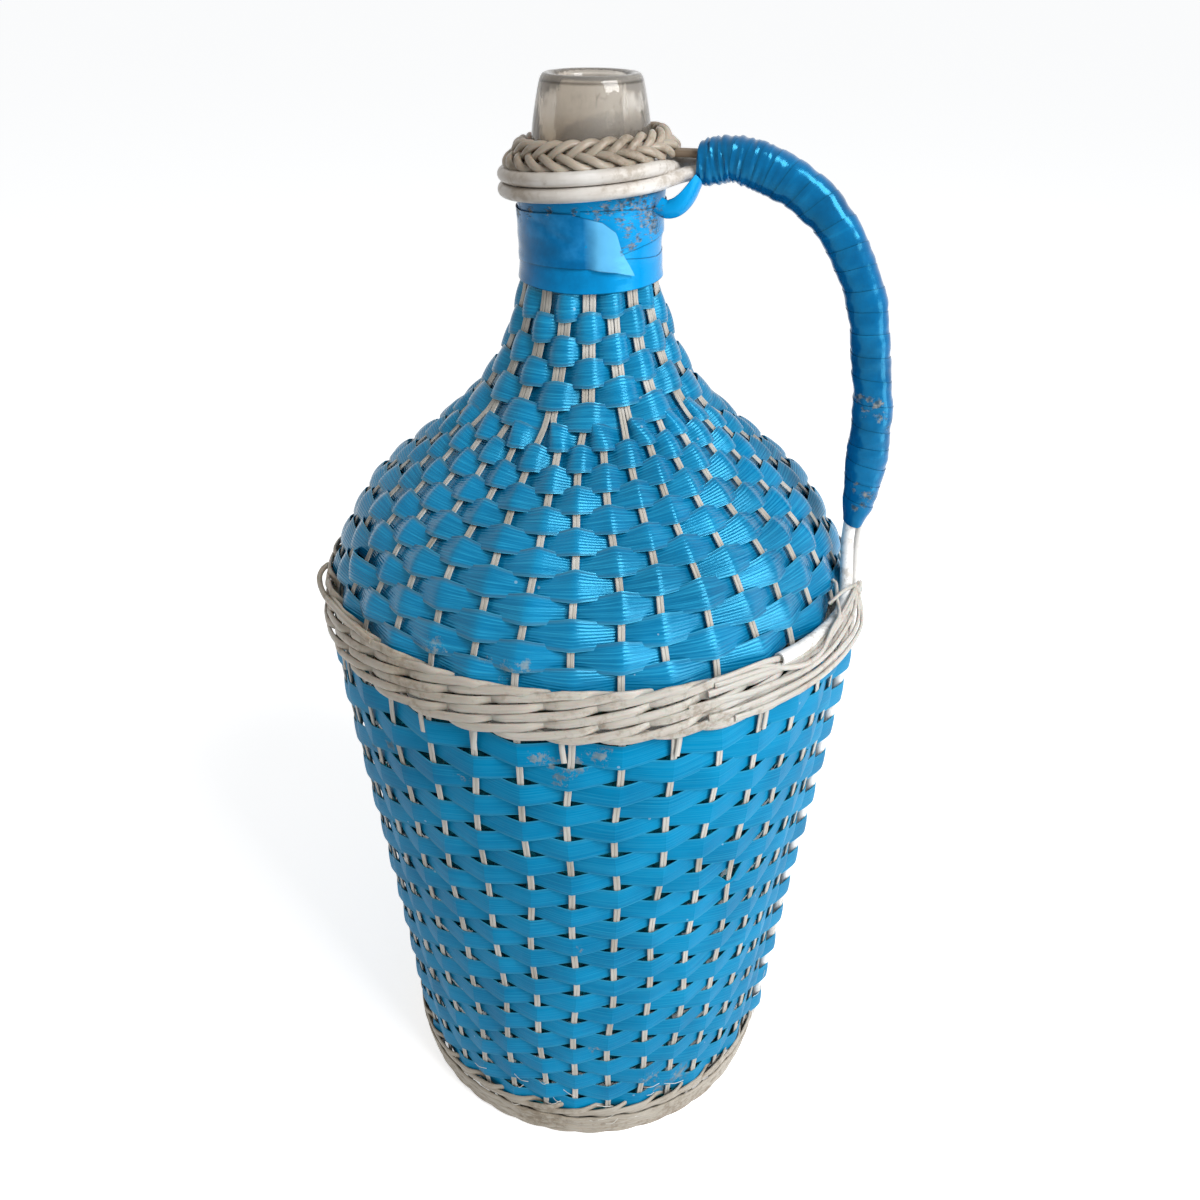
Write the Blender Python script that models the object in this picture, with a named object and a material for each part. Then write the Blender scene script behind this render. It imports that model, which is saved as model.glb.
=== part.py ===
"""Demijohn of about five litres: a glass bottle in a woven cover, with a bound carrying handle.

The bottle stands on a mat. Thirty-seven stakes rise from the mat's rim, follow the glass up its side
and shoulder, and gather into pairs at the neck. Ribbons are woven over and under the stakes in one
rising spiral, below and above a waist band of thin strands. A plaited collar closes the cover under
the lip. One tube stands in for a stake, rises through the wound grip, goes round the neck twice and
comes back through the grip to the band. Nothing on it moves.

Metres, +Z up. The origin is the centre of the mat's underside. The handle is towards +X. An azimuth
is measured from -Y towards +X, and stakes and groups are counted from the handle that way.
"""

import math

import bmesh
import bpy
from mathutils import Vector

# The glass bottle, from the mat upwards.
FOOT_RADIUS = 0.0640
HEEL_RADIUS = 0.0710
HEEL_HEIGHT = 0.0105
BODY_RADIUS = 0.0898
BODY_HEIGHT = 0.2000
SHOULDER_HEIGHT = 0.1148
NECK_RADIUS = 0.0185
NECK_LENGTH = 0.0365
LIP_FOOT_RADIUS = 0.0194
LIP_BAND_HEIGHT = 0.0074
LIP_BAND_RADIUS = 0.0189
LIP_CONE_HEIGHT = 0.0140
LIP_RADIUS = 0.0144
LIP_ROUNDING = 0.0013
MOUTH_RADIUS = 0.0104
GLASS_WALL = 0.0030
PUNT_HEIGHT = 0.0110
PUNT_RADIUS = 0.0480

# Shares of the way from the heel's radius out to the body's, and of the body's height.
BODY_SHARES = ((0.44, 0.44), (0.87, 0.82))
# Shares of the way from the neck's radius out to the body's, and of the shoulder's height.
SHOULDER_SHARES = (
    (0.955, 0.150),
    (0.877, 0.250),
    (0.777, 0.350),
    (0.576, 0.460),
    (0.380, 0.565),
    (0.217, 0.670),
    (0.098, 0.790),
    (0.035, 0.900),
)
GLASS_SEGMENTS = 22

# Clearances.
SEAT_GAP = 0.0003
LAYER_GAP = 0.00045
WELD = 0.000001

# The mat under the bottle.
MAT_THICKNESS = 0.0035
MAT_GROOVE_DEPTH = 0.0006
MAT_GROOVE_WIDTH = 0.0022
MAT_GROOVES = 2
MAT_SEGMENTS = 22

# The stakes. The lone one, and the group that it makes by itself, is counted from the handle.
STAKE_COUNT = 37
GROUP_COUNT = 19
LONE_STAKE = 2
STAKE_WIDTH = 0.0022
NECK_STAKE_WIDTH = 0.0014
STAKE_THICKNESS = 0.0012
STAKE_FOOT_HEIGHT = 0.0020
STAKE_FOOT_DRAW = 0.0018
PAIR_GAP = 0.0003
GATHERING_ROWS = 1.6

# The woven ribbons. Rows are counted from the bottom, at the handle.
RIBBON_THICKNESS = 0.0005
LOWER_ROWS = 23
LOWER_RIBBONS = 4
LOWER_ROW_GAP = 0.0006
LOWER_ROW_SAG = 0.0010
SINGLE_ROWS = 11
GROUPED_ROWS = 6
UPPER_RIBBONS = 3
UPPER_ROW_GAP = 0.0007
UPPER_ROW_SAG = 0.0004
UPPER_SWELL_SHARE = 0.10
WEAVE_SLANT_ANGLE = math.radians(2.3)
SLANT_RAMP_LENGTH = 0.045
RIBBON_END_SHARE = 0.15
RIBBON_END_GAP = 0.0008
PAIR_BULGE = 0.0007

# The waist band and the foot border, both of thin strands, and the rope round the foot.
STRAND_THICKNESS = 0.0008
STRAND_GAP = 0.0004
BAND_WIDTH = 0.0165
BAND_TURNS = 4
BAND_BULGE = 0.0035
BORDER_HEIGHT = 0.0190
BORDER_TURNS = 2
BORDER_BULGE = 0.0015
ROPE_RADIUS = 0.0021
ROPE_FLAT_SHARE = 0.3
ROPE_TWISTS = 16
ROPE_POINTS = 64

# The plaited collar under the lip.
PLAIT_RADIUS = 0.0243
PLAIT_RISE = 0.0022
PLAIT_HALF_WIDTH = 0.0044
PLAIT_HALF_DEPTH = 0.0020
PLAIT_STRAND_RADIUS = 0.0012
PLAIT_LEAN_ANGLE = math.radians(38.0)
PLAIT_STRANDS = 3
PLAIT_STRAND_SIDES = 5
PLAIT_CYCLES = 9
PLAIT_CYCLE_POINTS = 6
COLLAR_SLANT_ANGLE = math.radians(3.8)

# The tape round the neck.
TAPE_THICKNESS = 0.0009
TAPE_LIFT = 0.0012
TAPE_WIDTH = 0.0255
TAPE_FLARE = 0.0010
TAPE_SEGMENTS = 32

# The handle's tube, which loops the neck twice.
TUBE_RADIUS = 0.0021
TUBE_GAP = 0.0004
TUBE_BEVEL_SEGMENTS = 2
LOOP_RADIUS = 0.0265
LOOP_HEIGHT_UNDER_LIP = 0.0261
LOOP_PITCH = 0.0050
LOOP_TUCK = 0.0009
LOOP_TURN_POINTS = 17
LOOP_LEAVING_ANGLE = math.radians(33.0)
LOOP_SLANT_ANGLE = math.radians(4.0)
LEG_BEND = 0.0080
LEG_POINTS = 5
LOWER_LEG_DROP = 0.0014
LOWER_LEG_DROP_SHARE = 0.08
BAND_TUBE_STANDOFF = 0.0040
CUT_END_ANGLE = math.radians(36.0)
CUT_END_RISE = 0.0140
# Shares of the cut end's angle and of its rise over the band, from under the grip to the cut.
CUT_END_SHARES = (
    (0.0, 1.0),
    (0.03, 0.62),
    (0.09, 0.30),
    (0.19, 0.10),
    (0.33, 0.02),
    (0.5, 0.0),
    (0.67, 0.0),
    (0.84, 0.0),
    (1.0, 0.0),
)

# The grip's centre line in the handle's plane: nine places, each down from the lip, and out by a
# share of the grip's reach.
GRIP_BODY_CLEARANCE = 0.0025
GRIP_OUT_SHARES = (0.390, 0.498, 0.663, 0.802, 0.886, 0.947, 0.991, 1.0, 0.992)
GRIP_DOWN_1 = 0.0232
GRIP_DOWN_2 = 0.0224
GRIP_DOWN_3 = 0.0278
GRIP_DOWN_4 = 0.0383
GRIP_DOWN_5 = 0.0504
GRIP_DOWN_6 = 0.0661
GRIP_DOWN_7 = 0.0910
GRIP_DOWN_8 = 0.1080
GRIP_DOWN_9 = 0.1330
GRIP_SPANS = 13
TUBE_DROP = 0.0012
TUBE_DROP_SHARE = 0.8
CORE_WIDTH = 0.0060
CORE_THICKNESS = 0.0022
CORE_ROOT_LENGTH = 0.0062
CORE_TIP_SHARE = 0.86
WINDING_TURNS = 20
WINDING_TURN_POINTS = 9
WINDING_THICKNESS = 0.0008
WINDING_GAP = 0.0007
WINDING_HALF_DEPTH = 0.0067
WINDING_HALF_WIDTH = 0.0054
# Shares of the grip's length, and of the winding's half depth or half width there.
WINDING_DEPTH_SHARES = (
    (0.0, 1.0),
    (0.15, 1.0),
    (0.35, 0.86),
    (0.68, 0.86),
    (0.84, 0.97),
    (0.92, 0.86),
    (1.0, 0.56),
)
WINDING_WIDTH_SHARES = ((0.0, 1.18), (0.10, 1.12), (0.20, 1.0), (1.0, 1.0))
TAIL_WIDTH = 0.0060
TAIL_THICKNESS = 0.0006
TAIL_DROP = 0.0055
TAIL_POINTS = 5

FULL_TURN = 2 * math.pi
HANDLE_AZIMUTH = FULL_TURN / 4
SMOOTH_STEPS = 6


def clear_scene():
    for old in list(bpy.data.objects):
        bpy.data.objects.remove(old, do_unlink=True)


def principled(name, colour, roughness, transmission=0.0):
    material = bpy.data.materials.new(name)
    material.use_nodes = True
    shader = material.node_tree.nodes["Principled BSDF"]
    shader.inputs["Base Color"].default_value = (*colour, 1.0)
    shader.inputs["Roughness"].default_value = roughness
    shader.inputs["Metallic"].default_value = 0.0
    shader.inputs["Transmission Weight"].default_value = transmission
    return material


def place(radius, azimuth, height):
    return Vector((radius * math.sin(azimuth), -radius * math.cos(azimuth), height))


def mix(first, second, share):
    return first + (second - first) * share


def ease(share):
    share = min(max(share, 0.0), 1.0)
    return share * share * (3 - 2 * share)


def read_shares(table, share):
    """The second value of a table of shares, at a first value."""
    for (near, low), (far, high) in zip(table, table[1:]):
        if share <= far:
            return mix(low, high, (share - near) / (far - near))
    return table[-1][1]


def smooth_through(points, steps):
    """Points on a smooth curve through the given ones, each span cut into steps."""
    points = [Vector(p) for p in points]
    ends = [2 * points[0] - points[1], *points, 2 * points[-1] - points[-2]]
    found = []
    for before, start, stop, after in zip(ends, ends[1:], ends[2:], ends[3:]):
        for step in range(steps):
            t = step / steps
            linear = (stop - before) * t
            square = (2 * before - 5 * start + 4 * stop - after) * t**2
            cube = (3 * start - before - 3 * stop + after) * t**3
            found.append(start + (linear + square + cube) / 2)
    return [*found, points[-1]]


def link_mesh(name, bm, material, smooth=True):
    bmesh.ops.recalc_face_normals(bm, faces=bm.faces)
    mesh = bpy.data.meshes.new(name)
    bm.to_mesh(mesh)
    bm.free()
    if smooth:
        mesh.shade_smooth()
        mesh.set_sharp_from_angle(angle=math.radians(40))
    mesh.materials.append(material)
    made = bpy.data.objects.new(name, mesh)
    bpy.context.scene.collection.objects.link(made)


def turn(name, profile, segments, material):
    """A solid of revolution round Z. Its outline is on the axis at both ends, or closes on itself."""
    bm = bmesh.new()
    verts = [bm.verts.new((radius, 0, height)) for radius, height in profile]
    edges = [bm.edges.new(pair) for pair in zip(verts, verts[1:])]
    if profile[0][0] > 0:
        edges.append(bm.edges.new((verts[-1], verts[0])))
    bmesh.ops.spin(
        bm, geom=verts + edges, cent=(0, 0, 0), axis=(0, 0, 1), angle=FULL_TURN, steps=segments
    )
    bmesh.ops.remove_doubles(bm, verts=bm.verts, dist=WELD)
    link_mesh(name, bm, material)


def loft(name, rings, material, closed=False, smooth=False):
    """A solid through rings of corners. It closes on its first ring, or has a face at each end."""
    bm = bmesh.new()
    loops = [[bm.verts.new(corner) for corner in ring] for ring in rings]
    following = loops[1:] + loops[:1] if closed else loops[1:]
    for near, far in zip(loops, following):
        for at, corner in enumerate(near):
            after = (at + 1) % len(near)
            bm.faces.new((corner, near[after], far[after], far[at]))
    if not closed:
        bm.faces.new(loops[0])
        bm.faces.new(loops[-1])
    link_mesh(name, bm, material, smooth)


def tube(name, points, radius, bevel, material, closed=False):
    curve = bpy.data.curves.new(name, "CURVE")
    curve.dimensions = "3D"
    curve.bevel_depth = radius
    curve.bevel_resolution = bevel
    curve.use_fill_caps = not closed
    spline = curve.splines.new("POLY")
    spline.points.add(len(points) - 1)
    for knot, point in zip(spline.points, points):
        knot.co = (*point, 1)
    spline.use_cyclic_u = closed
    spline.use_smooth = True
    curve.materials.append(material)
    made = bpy.data.objects.new(name, curve)
    bpy.context.scene.collection.objects.link(made)


# Heights that pieces share, from the mat upwards.
GLASS_FOOT = MAT_THICKNESS + SEAT_GAP
HEEL_TOP = GLASS_FOOT + HEEL_HEIGHT
WIDEST = HEEL_TOP + BODY_HEIGHT
NECK_FOOT = WIDEST + SHOULDER_HEIGHT
LIP_FOOT = NECK_FOOT + NECK_LENGTH
LIP_CONE_FOOT = LIP_FOOT + LIP_BAND_HEIGHT
LIP_TOP = LIP_CONE_FOOT + LIP_CONE_HEIGHT

HALF_STAKE = STAKE_THICKNESS / 2
STANDOFF = SEAT_GAP + STRAND_THICKNESS + LAYER_GAP + HALF_STAKE
TUBE_SEAT = TUBE_RADIUS - HALF_STAKE
STAKE_STEP = FULL_TURN / STAKE_COUNT
GROUP_STEP = FULL_TURN / GROUP_COUNT


def glass_side():
    """The bottle's outer side from the heel to the neck, as radius and height."""
    found = [(HEEL_RADIUS, HEEL_TOP)]
    for out, up in BODY_SHARES:
        found.append((mix(HEEL_RADIUS, BODY_RADIUS, out), mix(HEEL_TOP, WIDEST, up)))
    found.append((BODY_RADIUS, WIDEST))
    for out, up in SHOULDER_SHARES:
        found.append((mix(NECK_RADIUS, BODY_RADIUS, out), mix(WIDEST, NECK_FOOT, up)))
    found.append((NECK_RADIUS, NECK_FOOT))
    return [Vector(p) for p in found]


class Side:
    """Where the stakes' middles lie: the glass's side moved outwards, by its run up from the foot."""

    def __init__(self):
        glass = [*glass_side(), Vector((NECK_RADIUS, LIP_FOOT))]
        self.places = []
        self.normals = []
        for at, here in enumerate(glass):
            along = glass[min(at + 1, len(glass) - 1)] - glass[max(at - 1, 0)]
            out = Vector((along.y, -along.x)).normalized()
            self.places.append(here + out * STANDOFF)
            self.normals.append(out)
        self.places.insert(0, Vector((self.places[0].x - STAKE_FOOT_DRAW, STAKE_FOOT_HEIGHT)))
        self.normals.insert(0, self.normals[0])
        self.runs = [0.0]
        for near, far in zip(self.places, self.places[1:]):
            self.runs.append(self.runs[-1] + (far - near).length)

    def span_at(self, run):
        """The span between two bends that holds a run, and the share of it that lies below."""
        span = 0
        while span < len(self.runs) - 2 and self.runs[span + 1] < run:
            span += 1
        return span, (run - self.runs[span]) / (self.runs[span + 1] - self.runs[span])

    def at(self, run):
        """The place and the outward normal at a run, each as out and up."""
        span, share = self.span_at(run)
        where = self.places[span].lerp(self.places[span + 1], share)
        share = min(max(share, 0.0), 1.0)
        return where, self.normals[span].lerp(self.normals[span + 1], share).normalized()

    def run_at(self, height):
        for span, (near, far) in enumerate(zip(self.places, self.places[1:])):
            if far.y >= height:
                share = (height - near.y) / (far.y - near.y)
                return mix(self.runs[span], self.runs[span + 1], share)
        return self.runs[-1]

    def point(self, run, azimuth, offset=0.0):
        where, out = self.at(run)
        return place(where.x + out.x * offset, azimuth, where.y + out.y * offset)


SIDE = Side()
BORDER_TOP = SIDE.run_at(BORDER_HEIGHT)
BAND_LOW = SIDE.run_at(WIDEST)
BAND_HIGH = BAND_LOW + BAND_WIDTH
WEAVE_TOP = SIDE.run_at(NECK_FOOT)
TAPE_LOW = NECK_FOOT + TAPE_LIFT
STAKE_TOP = SIDE.run_at(TAPE_LOW + TAPE_WIDTH)
LOWER_PITCH = (BAND_LOW - BORDER_TOP) / (LOWER_ROWS + 1)
UPPER_PITCH = (WEAVE_TOP - BAND_HIGH) / (SINGLE_ROWS + GROUPED_ROWS + 1)


def slant_rise(run, azimuth, low, high):
    """How much higher a row lies towards the handle. The slant eases to nothing at low and high."""
    ramp = min(ease((run - low) / SLANT_RAMP_LENGTH), ease((high - run) / SLANT_RAMP_LENGTH))
    return ramp * SIDE.at(run)[0].x * math.tan(WEAVE_SLANT_ANGLE) * math.sin(azimuth)


def even_azimuth(stake):
    return HANDLE_AZIMUTH + stake * STAKE_STEP


def group_azimuth(group):
    return even_azimuth(LONE_STAKE) + group * GROUP_STEP


def group_of(stake):
    """The stake's group, counted from the lone one, and its seat there: -0.5 or 0.5 in a pair."""
    steps = (stake - LONE_STAKE + STAKE_COUNT // 2) % STAKE_COUNT - STAKE_COUNT // 2
    if steps == 0:
        return 0, 0.0
    group = (abs(steps) + 1) // 2
    seat = 0.5 if steps % 2 == 0 else -0.5
    return (group, seat) if steps > 0 else (-group, -seat)


def gathered_share(stake, run):
    """How far a stake has leant from its even place to its seat in its pair."""
    rows_below = (run - BAND_HIGH) / UPPER_PITCH - stake / STAKE_COUNT
    return ease((rows_below - SINGLE_ROWS - 0.5) / GATHERING_ROWS + 1)


def bend_azimuth(stake, run):
    group, seat = group_of(stake)
    seated = group_azimuth(group) + seat * (NECK_STAKE_WIDTH + PAIR_GAP) / SIDE.at(run)[0].x
    lean = (seated - even_azimuth(stake) + FULL_TURN / 2) % FULL_TURN - FULL_TURN / 2
    return even_azimuth(stake) + lean * gathered_share(stake, run)


def stake_azimuth(stake, run):
    """A stake is straight from one bend of the side to the next."""
    span, share = SIDE.span_at(run)
    return mix(bend_azimuth(stake, SIDE.runs[span]), bend_azimuth(stake, SIDE.runs[span + 1]), share)


def tube_standoff(run):
    """How far the handle's tube lies outside the stakes where it stands in for one."""
    share = min(max((run - BAND_LOW) / BAND_WIDTH, 0.0), 1.0)
    return mix(TUBE_SEAT, BAND_TUBE_STANDOFF, share)


class Crossing:
    """Where a ribbon or strand passes a stake, or a group of stakes, and how far out it must be."""

    def __init__(self, run, azimuth_at, over_reach, under_reach):
        self.run = run
        self.azimuth_at = azimuth_at
        self.over_reach = over_reach
        self.under_reach = under_reach


def stake_crossing(stake, run):
    def azimuth_at(where):
        return stake_azimuth(stake, where)

    over = HALF_STAKE
    if gathered_share(stake, run + 2 * UPPER_PITCH) > 0:
        over += PAIR_BULGE
    if stake == 0 and run < BAND_HIGH:
        over = tube_standoff(run) + TUBE_RADIUS
    return Crossing(run, azimuth_at, over, HALF_STAKE)


def group_crossing(group, run):
    def azimuth_at(where):
        return group_azimuth(group)

    return Crossing(run, azimuth_at, HALF_STAKE + PAIR_BULGE, HALF_STAKE)


def single_rows(low, pitch, rows, high=None):
    """The crossings of a spiral that rises by a pitch a turn, from low. It slants where high is given."""
    found = []
    for row in range(rows):
        for stake in range(STAKE_COUNT):
            run = low + pitch * (row + 0.5 + stake / STAKE_COUNT)
            if high is not None:
                run += slant_rise(run, even_azimuth(stake), low, high)
            found.append(stake_crossing(stake, run))
    return found


def grouped_rows():
    """The spiral's last rows, over and under whole groups, from the group that holds the handle's stake."""
    first = group_of(0)[0]
    found = []
    for row in range(SINGLE_ROWS, SINGLE_ROWS + GROUPED_ROWS):
        for group in range(first, first + GROUP_COUNT):
            azimuth = group_azimuth(group)
            run = BAND_HIGH + UPPER_PITCH * (row + 0.5 + (azimuth - HANDLE_AZIMUTH) / FULL_TURN)
            run += slant_rise(run, azimuth, BAND_HIGH, STAKE_TOP + SLANT_RAMP_LENGTH)
            found.append(group_crossing(group, run))
    return found


def ribbon_section(crossing, over, width, thickness, sag, bulge, swell):
    """Two edges towards the glass and a crown outwards, clear of a stake that bends between them.

    The ribbon is wider by the swell's share where it passes over, and narrower where it passes under.
    """
    clear = LAYER_GAP + thickness / 2
    width *= 1 + swell if over else 1 - swell
    offset = crossing.over_reach + clear + bulge if over else -crossing.under_reach - clear
    run = crossing.run - sag if over else crossing.run + sag
    low, high = SIDE.at(run - width / 2)[0], SIDE.at(run + width / 2)[0]
    middle, out = SIDE.at(run)
    hollow = (middle - (low + high) / 2).dot(out)
    offset += max(hollow, 0) if over else min(hollow, 0)
    corners = []
    for across, depth in ((-0.5, -0.5), (0.5, -0.5), (0.0, 0.5)):
        where = run + across * width
        corners.append(SIDE.point(where, crossing.azimuth_at(where), offset + depth * thickness))
    return corners


def part_way(sections, number, share, gap):
    """A section a share of the way to the next crossing, and a gap further."""
    near, far = sections[number], sections[number + 1]
    share += gap / (far[0] - near[0]).length
    return [a.lerp(b, share) for a, b in zip(near, far)]


def weave(name, crossings, lengths, width, thickness, material, sag=0.0, bulge=0.0, swell=0.0):
    """One spiral over and under the stakes, cut into lengths that meet between two stakes."""
    sections = []
    for number, crossing in enumerate(crossings):
        over = number % 2 == 0
        sections.append(ribbon_section(crossing, over, width, thickness, sag, bulge, swell))
    per_length = math.ceil(len(sections) / lengths)
    for length in range(lengths):
        first = length * per_length
        last = min(first + per_length, len(sections) - 1)
        rings = sections[first : last + 1]
        if length > 0:
            rings[0] = part_way(sections, first, RIBBON_END_SHARE, RIBBON_END_GAP)
        if last < len(sections) - 1:
            rings.append(part_way(sections, last, RIBBON_END_SHARE, 0))
        loft(f"{name}_{length + 1}" if lengths > 1 else name, rings, material)


def make_bottle(material):
    side = [tuple(p) for p in glass_side()]
    outside = [(FOOT_RADIUS, GLASS_FOOT), *side, (LIP_FOOT_RADIUS, LIP_FOOT)]
    outside.append((LIP_BAND_RADIUS, LIP_CONE_FOOT))
    outside.append((LIP_RADIUS, LIP_TOP - LIP_ROUNDING))
    outside.append((LIP_RADIUS - LIP_ROUNDING, LIP_TOP))
    inside = [(MOUTH_RADIUS + LIP_ROUNDING, LIP_TOP), (MOUTH_RADIUS, LIP_TOP - LIP_ROUNDING)]
    inside.append((MOUTH_RADIUS, LIP_CONE_FOOT))
    inside += [(radius - GLASS_WALL, height) for radius, height in side[::-2]]
    floor = GLASS_FOOT + GLASS_WALL
    inside.append((FOOT_RADIUS - GLASS_WALL, floor))
    inside.append((PUNT_RADIUS, floor))
    inside.append((0, floor + PUNT_HEIGHT))
    underside = [(0, GLASS_FOOT + PUNT_HEIGHT), (PUNT_RADIUS, GLASS_FOOT)]
    turn("glass_bottle", underside + outside + inside, GLASS_SEGMENTS, material)


def make_mat(material):
    """A flat mat with ring grooves between the courses of its weave, under and on top."""
    radius = SIDE.places[0].x - HALF_STAKE - SEAT_GAP
    half = MAT_GROOVE_WIDTH / 2
    profile = [(0, 0)]
    for groove in range(MAT_GROOVES):
        middle = radius * (groove + 1) / (MAT_GROOVES + 1)
        profile += [(middle - half, 0), (middle, MAT_GROOVE_DEPTH), (middle + half, 0)]
    profile += [(radius - half, 0), (radius, MAT_GROOVE_DEPTH)]
    profile += [(radius, MAT_THICKNESS - MAT_GROOVE_DEPTH), (radius - half, MAT_THICKNESS)]
    profile.append((0, MAT_THICKNESS))
    turn("base_mat", profile, MAT_SEGMENTS, material)


def stake_section(stake, run):
    """A flat face outwards and a ridge towards the glass."""
    width = mix(STAKE_WIDTH, NECK_STAKE_WIDTH, gathered_share(stake, run))
    half_angle = width / 2 / SIDE.at(run)[0].x
    azimuth = stake_azimuth(stake, run)
    return [
        SIDE.point(run, azimuth - half_angle, HALF_STAKE),
        SIDE.point(run, azimuth + half_angle, HALF_STAKE),
        SIDE.point(run, azimuth, -HALF_STAKE),
    ]


def make_stakes(material):
    """The handle's own stake starts over the band, where the tube leaves it."""
    for stake in range(STAKE_COUNT):
        foot = BAND_HIGH if stake == 0 else 0.0
        bends = [run for run in SIDE.runs[:-1] if run > foot]
        rings = [stake_section(stake, run) for run in (foot, *bends, STAKE_TOP)]
        loft(f"stake_{stake + 1:02d}", rings, material)


def make_ribbons(lower_material, upper_material):
    lower = single_rows(BORDER_TOP, LOWER_PITCH, LOWER_ROWS, BAND_LOW)
    width = LOWER_PITCH - LOWER_ROW_GAP
    weave(
        "lower_ribbon", lower, LOWER_RIBBONS, width, RIBBON_THICKNESS, lower_material,
        sag=LOWER_ROW_SAG,
    )
    upper = single_rows(BAND_HIGH, UPPER_PITCH, SINGLE_ROWS, STAKE_TOP + SLANT_RAMP_LENGTH)
    upper += grouped_rows()
    width = UPPER_PITCH - UPPER_ROW_GAP
    weave(
        "upper_ribbon", upper, UPPER_RIBBONS, width, RIBBON_THICKNESS, upper_material,
        sag=UPPER_ROW_SAG, swell=UPPER_SWELL_SHARE,
    )


def make_band_and_border(material):
    pitch = BAND_WIDTH / (BAND_TURNS + 1)
    width = pitch - STRAND_GAP
    band = single_rows(BAND_LOW, pitch, BAND_TURNS)
    weave("waist_band", band, 1, width, STRAND_THICKNESS, material, bulge=BAND_BULGE)
    low = SIDE.run_at(2 * ROPE_RADIUS + 2 * SEAT_GAP)
    pitch = (BORDER_TOP - low) / (BORDER_TURNS + 1)
    width = pitch - STRAND_GAP
    border = single_rows(low, pitch, BORDER_TURNS)
    weave("foot_border", border, 1, width, STRAND_THICKNESS, material, bulge=BORDER_BULGE)


def make_foot_rope(material):
    """A twisted rope round the foot, outside the stakes' ends."""
    ring_radius = SIDE.at(SIDE.run_at(2 * ROPE_RADIUS))[0].x + HALF_STAKE + SEAT_GAP + ROPE_RADIUS
    rings = []
    for step in range(ROPE_POINTS):
        turned = step / ROPE_POINTS
        ring = []
        for corner in range(4):
            angle = FULL_TURN * (corner + ROPE_TWISTS * turned) / 4
            reach = ROPE_RADIUS * (1 - ROPE_FLAT_SHARE * (corner % 2))
            up = ROPE_RADIUS + SEAT_GAP + reach * math.sin(angle)
            ring.append(place(ring_radius + reach * math.cos(angle), FULL_TURN * turned, up))
        rings.append(ring)
    loft("foot_rope", rings, material, closed=True)


def plait_point(strand, phase):
    """A strand weaves across the collar once a cycle, and in and out twice."""
    azimuth = phase / PLAIT_CYCLES
    phase += FULL_TURN * strand / PLAIT_STRANDS
    across = PLAIT_HALF_WIDTH * math.sin(phase)
    outward = PLAIT_HALF_DEPTH * math.sin(2 * phase)
    lean_out, lean_up = math.sin(PLAIT_LEAN_ANGLE), math.cos(PLAIT_LEAN_ANGLE)
    radius = PLAIT_RADIUS - across * lean_out + outward * lean_up
    height = LIP_FOOT + PLAIT_RISE + across * lean_up + outward * lean_out
    return place(radius, azimuth, height + radius * math.tan(COLLAR_SLANT_ANGLE) * math.sin(azimuth))


def make_plait(material):
    steps = PLAIT_CYCLES * PLAIT_CYCLE_POINTS
    phase_step = FULL_TURN / PLAIT_CYCLE_POINTS
    for strand in range(PLAIT_STRANDS):
        points = [plait_point(strand, phase_step * (step + 0.5)) for step in range(steps)]
        rings = [
            round_section(points[step - 1], points[step], points[(step + 1) % steps])
            for step in range(steps)
        ]
        loft(f"neck_plait_{strand + 1}", rings, material, closed=True, smooth=True)


def round_section(before, here, after):
    along = (after - before).normalized()
    side = along.cross(Vector((0, 0, 1))).normalized()
    up = side.cross(along)
    ring = []
    for corner in range(PLAIT_STRAND_SIDES):
        angle = FULL_TURN * corner / PLAIT_STRAND_SIDES
        ring.append(here + PLAIT_STRAND_RADIUS * (math.cos(angle) * side + math.sin(angle) * up))
    return ring


def make_neck_tape(material):
    inner = NECK_RADIUS + STANDOFF + HALF_STAKE + SEAT_GAP
    outer = inner + TAPE_THICKNESS
    top = TAPE_LOW + TAPE_WIDTH
    profile = [(inner, TAPE_LOW), (inner, top), (outer, top), (outer, mix(TAPE_LOW, top, 0.5))]
    profile.append((outer + TAPE_FLARE, TAPE_LOW))
    turn("neck_tape", profile, TAPE_SEGMENTS, material)


class Grip:
    """The grip's centre line, by the share of its length from the neck down, and its outward normal."""

    def __init__(self):
        reach = BODY_RADIUS + GRIP_BODY_CLEARANCE
        downs = (
            GRIP_DOWN_1,
            GRIP_DOWN_2,
            GRIP_DOWN_3,
            GRIP_DOWN_4,
            GRIP_DOWN_5,
            GRIP_DOWN_6,
            GRIP_DOWN_7,
            GRIP_DOWN_8,
            GRIP_DOWN_9,
        )
        knots = [(share * reach, 0, LIP_TOP - down) for share, down in zip(GRIP_OUT_SHARES, downs)]
        self.points = smooth_through(knots, SMOOTH_STEPS)
        self.runs = [0.0]
        for near, far in zip(self.points, self.points[1:]):
            self.runs.append(self.runs[-1] + (far - near).length)
        self.length = self.runs[-1]

    def at(self, share):
        run = share * self.length
        span = 0
        while span < len(self.runs) - 2 and self.runs[span + 1] < run:
            span += 1
        part = (run - self.runs[span]) / (self.runs[span + 1] - self.runs[span])
        return self.points[span].lerp(self.points[span + 1], part)

    def normal(self, share):
        step = 1 / len(self.runs)
        along = self.at(min(share + step, 1.0)) - self.at(max(share - step, 0.0))
        return Vector((-along.z, 0, along.x)).normalized()


GRIP = Grip()
TUBE_SIDE = TUBE_RADIUS + TUBE_GAP / 2


def grip_tube_point(share, side, drop=0.0):
    """Where a tube lies in the grip: beside its twin, and towards the inner side of the bend."""
    sink = TUBE_DROP * (1 - ease((share - TUBE_DROP_SHARE) / (1 - TUBE_DROP_SHARE)))
    sink += drop * (1 - ease(share / LOWER_LEG_DROP_SHARE))
    return GRIP.at(share) - GRIP.normal(share) * sink + Vector((0, side * TUBE_SIDE, 0))


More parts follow.
